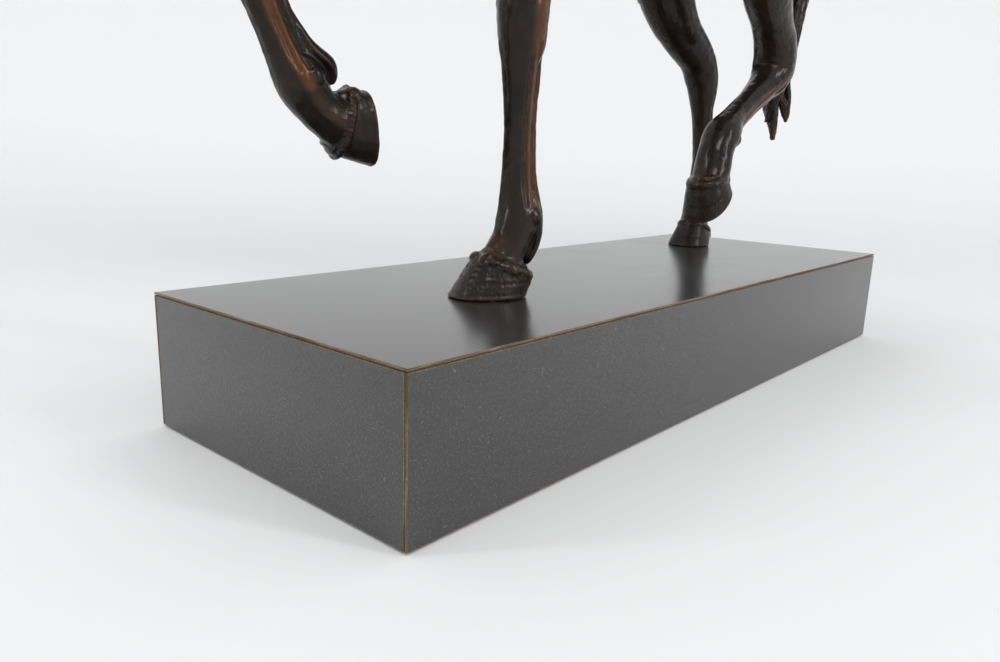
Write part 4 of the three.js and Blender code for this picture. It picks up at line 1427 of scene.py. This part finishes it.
@dataclass
class Studio:
    """A white cove, soft lights and the camera."""

    paper: bpy.types.Material
    radius: float = 2.6
    rise: float = 1.4
    wall: float = 2.6
    glow: float = 0.95

    def build(self) -> None:
        """Makes the cove, the lights and the camera."""
        self.cove()
        for light in (
            Softbox("soft_left", (-1.05, 0.55, 0.60), 0.12, 0.6, 2.7),
            Softbox("soft_right", (0.20, -1.15, 0.62), 0.14, 0.7, 5.2),
            Softbox("soft_front", (-0.72, -0.78, 1.10), 0.3, 0.3, 4.5),
            Softbox("soft_top", (-0.1, 0.1, 1.7), 1.0, 1.0, 3.0)):
            light.build()
        world = bpy.data.worlds.new("studio_air")
        bpy.context.scene.world = world
        world.use_nodes = True
        sky = world.node_tree.nodes["Background"]
        sky.inputs["Color"].default_value = (0.995, 0.997, 1.0, 1.0)
        sky.inputs["Strength"].default_value = self.glow
        view = bpy.context.scene.view_settings
        view.view_transform, view.look, view.exposure, view.gamma = "Standard", "None", 0.0, 1.0
        self.camera()

    def cove(self) -> None:
        """Makes the round paper cove."""
        mesh = bmesh.new()
        profile = [Vector((0.0, 0, 0)), Vector((self.radius - self.rise, 0, 0))]
        for step in range(1, 13):
            turn = math.pi / 2 * step / 12
            profile.append(Vector((self.radius - self.rise + self.rise * math.sin(turn), 0, self.rise * (1 - math.cos(turn)))))
        profile.append(Vector((self.radius, 0, self.wall)))
        verts = [mesh.verts.new(p) for p in profile]
        edges = [mesh.edges.new(pair) for pair in zip(verts, verts[1:])]
        bmesh.ops.spin(mesh, geom=verts + edges, angle=2 * math.pi, steps=96, axis=(0, 0, 1), cent=(0, 0, 0), use_merge=True)
        bmesh.ops.remove_doubles(mesh, verts=mesh.verts, dist=1e-5)
        shade(mesh)
        bmesh.ops.recalc_face_normals(mesh, faces=mesh.faces)
        data = bpy.data.meshes.new("paper_cove")
        mesh.to_mesh(data)
        mesh.free()
        data.materials.append(self.paper)
        cove = bpy.data.objects.new("paper_cove", data)
        bpy.context.scene.collection.objects.link(cove)

    def camera(self) -> None:
        """Places the camera low before the near corner of the plinth."""
        data = bpy.data.cameras.new("camera")
        data.lens, data.sensor_width, data.clip_start, data.clip_end = 27.563, 36.0, 0.01, 50.0
        camera = bpy.data.objects.new("camera", data)
        right = Vector((0.66296775, -0.74800538, 0.03101141))
        up = Vector((0.14910315, 0.17251884, 0.97365574))
        turn = Matrix((right, up, right.cross(up))).transposed().to_4x4()
        camera.matrix_world = Matrix.Translation((-0.364987, -0.240068, 0.121646)) @ turn
        bpy.context.scene.collection.objects.link(camera)
        bpy.context.scene.camera = camera


# ---------------------------------------------------------------- the horse's measures

LEFT_FORE_UPPER: list[Station] = [
    (-92, -30, 345, 38, 40, 20), (-98, -37, 312, 33, 35, 20), (-103, -37, 282, 25, 29, 17.5),
    (-107, -33, 252, 18.5, 20, 15), (-108.5, -29, 224, 13.2, 13.6, 12), (-108.5, -26, 202, 11, 10.2, 10.6)]
LEFT_FORE_LOWER: list[Station] = [
    (-108.5, -26, 202, 11, 10.2, 10.6), (-109, -24.5, 188, 11, 10.4, 11.4), (-109, -23.5, 176, 10.8, 10.4, 11.4),
    (-108, -22.6, 165, 9.6, 9.6, 10), (-106.5, -22, 152, 7.8, 8.2, 7.8), (-106, -21.5, 130, 6.6, 7.4, 6.2),
    (-105.3, -21, 112, 7.2, 8.4, 6.6), (-104.5, -20.5, 96, 9, 11, 9.2), (-107, -19.7, 86, 8.6, 9, 8.8),
    (-110.5, -18.6, 78, 9, 9, 9.2), (-112.5, -17.8, 69, 10, 10, 9.8)]
RIGHT_FORE_UPPER: list[Station] = [
    (-96, 30, 350, 38, 40, 20), (-112, 37, 318, 33, 35, 20), (-132, 37, 290, 25, 28, 17.5),
    (-154, 33, 265, 18.5, 19, 15), (-177, 29, 242, 13.4, 13.4, 12), (-195, 26.5, 224, 11, 10.8, 10.8)]
RIGHT_FORE_LOWER: list[Station] = [
    (-195, 26.5, 224, 11, 10.8, 10.8), (-206, 25.5, 212, 11.4, 10.4, 12), (-209, 25, 200, 11.4, 10, 11.6),
    (-205, 25, 188, 9.2, 9.2, 9.2), (-199.5, 25, 176, 7.6, 8.2, 7), (-192, 25, 160, 7.2, 8.4, 6.8),
    (-184.5, 25, 147, 9.6, 10.4, 9.2), (-177, 25, 138, 8.8, 8.6, 8.8), (-168, 24.5, 132.5, 10, 9.4, 9.6),
    (-160, 24, 130, 10, 10, 9.8)]
RIGHT_HIND_UPPER: list[Station] = [
    (178, 26, 392, 44, 46, 26), (160, 38, 352, 52, 56, 27), (138, 44, 312, 47, 48, 25), (120, 46, 276, 36, 37, 23),
    (112, 44.5, 246, 26, 27, 19.5), (118, 41, 222, 20, 20, 16.5), (131, 37.5, 205, 15.5, 16, 13.5)]
RIGHT_HIND_LOWER: list[Station] = [
    (131, 37.5, 205, 15.5, 16, 13.5), (149, 34.5, 191, 12.8, 15, 11.8), (157, 33.3, 178, 11.4, 12.6, 11.6),
    (160, 32.4, 164, 9.4, 10, 9.4), (163, 32, 145, 8, 8.6, 7.8), (166, 31.5, 122, 7.8, 8.8, 7.6),
    (167, 31, 100, 10, 11.4, 10), (163.5, 30.6, 88, 9.2, 9.6, 9.4), (159.5, 30.3, 80, 9.2, 9.4, 9.6),
    (158, 30, 70, 10, 10, 9.8)]
LEFT_HIND_UPPER: list[Station] = [
    (172, -26, 392, 44, 46, 26), (145, -38, 352, 52, 56, 27), (118, -43, 316, 47, 48, 25), (97, -43, 282, 36, 37, 23),
    (88, -40, 252, 27, 22, 19), (98, -34.5, 226, 19, 12.5, 15), (120, -30, 208, 14, 12.5, 12.5)]
LEFT_HIND_LOWER: list[Station] = [
    (120, -30, 208, 14, 12.5, 12.5), (135, -27.5, 194, 13, 14.5, 13), (139, -26, 181, 12.6, 15.8, 13.2),
    (131, -25.5, 170, 10.4, 11.4, 11), (113, -25.2, 158.5, 8.6, 9.2, 8.6), (95, -25, 148, 8.4, 9.2, 8.4),
    (79, -25, 137.5, 10.4, 11, 10.6), (72, -25, 127, 10, 10, 10.4), (69.5, -25, 117, 10.2, 10.2, 10.8),
    (67, -25, 106, 10, 10, 10)]
TRUNK: list[Station] = [
    (-152, 0, 344, 26, 24, 28), (-142, 0, 344, 46, 44, 44), (-118, 0, 345, 68, 76, 54), (-86, 0, 348, 78, 97, 56),
    (-55, 0, 350, 80, 104, 57), (-20, 0, 352, 81, 95, 60), (10, 0, 354, 80, 86, 62), (40, 0, 355, 78, 81, 63),
    (75, 0, 357, 75, 79, 63), (110, 0, 361, 71, 82, 62), (145, 0, 366, 66, 84, 62), (180, 0, 370, 64, 80, 61),
    (212, 0, 372, 58, 70, 56), (236, 0, 374, 44, 54, 44), (250, 0, 376, 24, 30, 24)]
NECK: list[Station] = [
    (-82, 0, 372, 62, 68, 34), (-118, 0, 396, 58, 58, 30), (-152, 0, 424, 48, 50, 25), (-182, 0, 456, 40, 42, 21),
    (-206, 0, 488, 30, 34, 18.5), (-226, 0, 512, 20, 28, 15)]
HEAD: list[Station] = [
    (-224, 0, 519, 10, 20, 12), (-236, 0, 508, 18, 33, 18), (-249, 0, 491, 23, 37, 24), (-260, 0, 472, 24, 31, 22),
    (-270, 0, 452, 20, 22, 17), (-280, 0, 432, 17, 17, 14), (-288, 0, 416, 15, 15, 13.5), (-294, 0, 404, 9, 10, 9)]
TAIL: list[Station] = [
    (232, 0, 418, 10, 10, 11), (252, 0, 422, 11, 10, 12), (265, 2, 408, 13, 12, 14), (269.6, 4, 384, 14, 14, 17),
    (268.6, 7, 350, 15, 15, 18), (263, 10, 312, 15, 15, 19), (253, 13, 276, 15, 14, 20), (243, 14, 243, 14, 13, 20),
    (238, 13, 212, 12, 12, 18.5), (235, 11, 186, 10, 10, 15), (233, 9, 164, 8, 8, 11), (232, 7, 148, 5, 5, 7),
    (231.5, 6.5, 137, 2, 2, 2.5)]
CREST: list[Point] = [(-78, 0, 450), (-104, 0, 454), (-134, 0, 466), (-164, 0, 487), (-190, 0, 511), (-210, 0, 525), (-221, 0, 530)]

UPPERS = [
    UpperLeg("left_fore_upper", LEFT_FORE_UPPER, LEFT_FORE_LOWER, 20,
             [((-100, -35, 300), (0, -0.35, -0.94)), ((0, -14, 0), (0, -1, 0)), ((-60, 0, 0), (-1, 0, 0))]),
    UpperLeg("right_fore_upper", RIGHT_FORE_UPPER, RIGHT_FORE_LOWER, 20,
             [((-122, 37, 302), (-0.58, 0, -0.81)), ((0, 14, 0), (0, 1, 0))]),
    UpperLeg("left_hind_upper", LEFT_HIND_UPPER, LEFT_HIND_LOWER, 0,
             [((125, -40, 322), (-0.6, -0.05, -0.8)), ((0, -16, 0), (0, -1, 0)), ((56, 0, 0), (1, 0, 0))]),
    UpperLeg("right_hind_upper", RIGHT_HIND_UPPER, RIGHT_HIND_LOWER, 0,
             [((145, 40, 318), (-0.48, 0.1, -0.87)), ((0, 16, 0), (0, 1, 0)), ((78, 0, 0), (1, 0, 0))])]

FRAME: dict = {}


def lower_legs(look: bpy.types.Material) -> list[LowerLeg]:
    """Returns the four lower legs with their places and details."""
    return [
        LowerLeg("left_fore_lower", LEFT_FORE_UPPER, LEFT_FORE_LOWER, 20,
                 Hoof((-118, -16.3, 60.3), 0, 20, Coronet.ROUGH, coronet_length=13.6, coronet_width=12.4), False, 3.4, 7.0, look, 11,
                 ((6.2, -0.72, 2.2), (7.0, -0.80, 3.2), (7.8, -1.10, 3.2), (8.5, -1.24, 2.6), (9.05, -1.30, 1.3)),
                 [Rub(-0.5, 3.0, (-0.22, -0.48), -0.8, 6.4, 0.9), Rub(3.0, 6.6, (-0.48, -0.45), -0.78, 4.4, 0.8),
                  Rub(8.6, 10.8, (0.8, 0.9), -0.4, 4.0, 0.35)]),
        LowerLeg("right_fore_lower", RIGHT_FORE_UPPER, RIGHT_FORE_LOWER, 20,
                 Hoof((-152.5, 23, 130.3), 96, 20, Coronet.RIBBED, half_length=16.0, coronet_length=13.2, setback=3.6,
                      heel=14.0, flare=1.6), False, 3.4, 6.0, look, 12,
                 ((4.5, -0.78, 1.8), (5.3, -0.96, 2.9), (5.95, -1.16, 3.5), (6.45, -1.20, 2.7), (6.75, -1.10, 1.4)),
                 [Rub(-0.5, 6.1, (0.12, -0.10), -0.9, 3.6, 0.95), Rub(6.5, 8.0, (0.0, 0.0), -0.9, 3.0, 0.2)]),
        LowerLeg("left_hind_lower", LEFT_HIND_UPPER, LEFT_HIND_LOWER, 0,
                 Hoof((67.0, -25, 96), 42, 0, Coronet.SMOOTH, half_length=17.0), True, 3.2, 6.0, look, 13,
                 ((5.0, -0.75, 1.8), (5.8, -0.95, 2.6), (6.5, -1.10, 3.0), (7.2, -1.12, 2.6), (7.8, -0.95, 1.6)),
                 [Rub(-1.0, 2.6, (-0.70, -0.62), -0.6, 4.2, 0.55), Rub(2.6, 5.6, (-0.10, -0.18), -0.85, 2.4, 1.0)]),
        LowerLeg("right_hind_lower", RIGHT_HIND_UPPER, RIGHT_HIND_LOWER, 0,
                 Hoof((153.0, 30, 60.3), 0, 0, Coronet.SMOOTH, half_length=15.2), True, 3.2, 6.0, look, 14,
                 ((5.0, -0.75, 1.6), (5.8, -0.95, 2.2), (6.5, -1.08, 2.4), (7.1, -1.05, 2.0), (7.6, -0.95, 1.2)),
                 [Rub(0.6, 2.6, (-0.75, -0.7), -0.5, 4.0, 0.25)])]


def main() -> None:
    """Builds every sub-assembly in order."""
    logging.basicConfig(level=logging.INFO, format="%(name)s: %(message)s")
    FRAME.update(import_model())
    bronze = BronzePatina().material()
    steel = PlatedSteel().material()
    timber = {
        "board": TimberGrain("fibreboard", (0.33, 0.22, 0.12, 1), (0.22, 0.14, 0.075, 1), (60.0, 60.0, 60.0), 0.85).material(),
        "block": TimberGrain("softwood_block", (0.58, 0.40, 0.22, 1), (0.40, 0.24, 0.11, 1), (90.0, 90.0, 6.0)).material(),
        "ply": TimberGrain("birch_ply", (0.60, 0.44, 0.27, 1), (0.45, 0.30, 0.16, 1)).material()}
    upright_core = LaminateCore("laminate_core_upright", stretch=(1.6, 1.6, 0.05)).material()
    plinth = Plinth(LaminateFace().material(), LaminateCore().material(), upright_core, timber, GreenFelt().material())
    plinth.build()
    Fixings(steel, bronze).dress()
    collars: dict[str, bpy.types.Mesh] = {}
    for leg in lower_legs(bronze):
        leg.build(collars)
    UpperBody(bronze, TRUNK, NECK, HEAD, UPPERS, collars).build()
    Hair(bronze, TAIL, CREST).build()
    Studio(StudioPaper().material()).build()


if __name__ == "__main__":
    main()
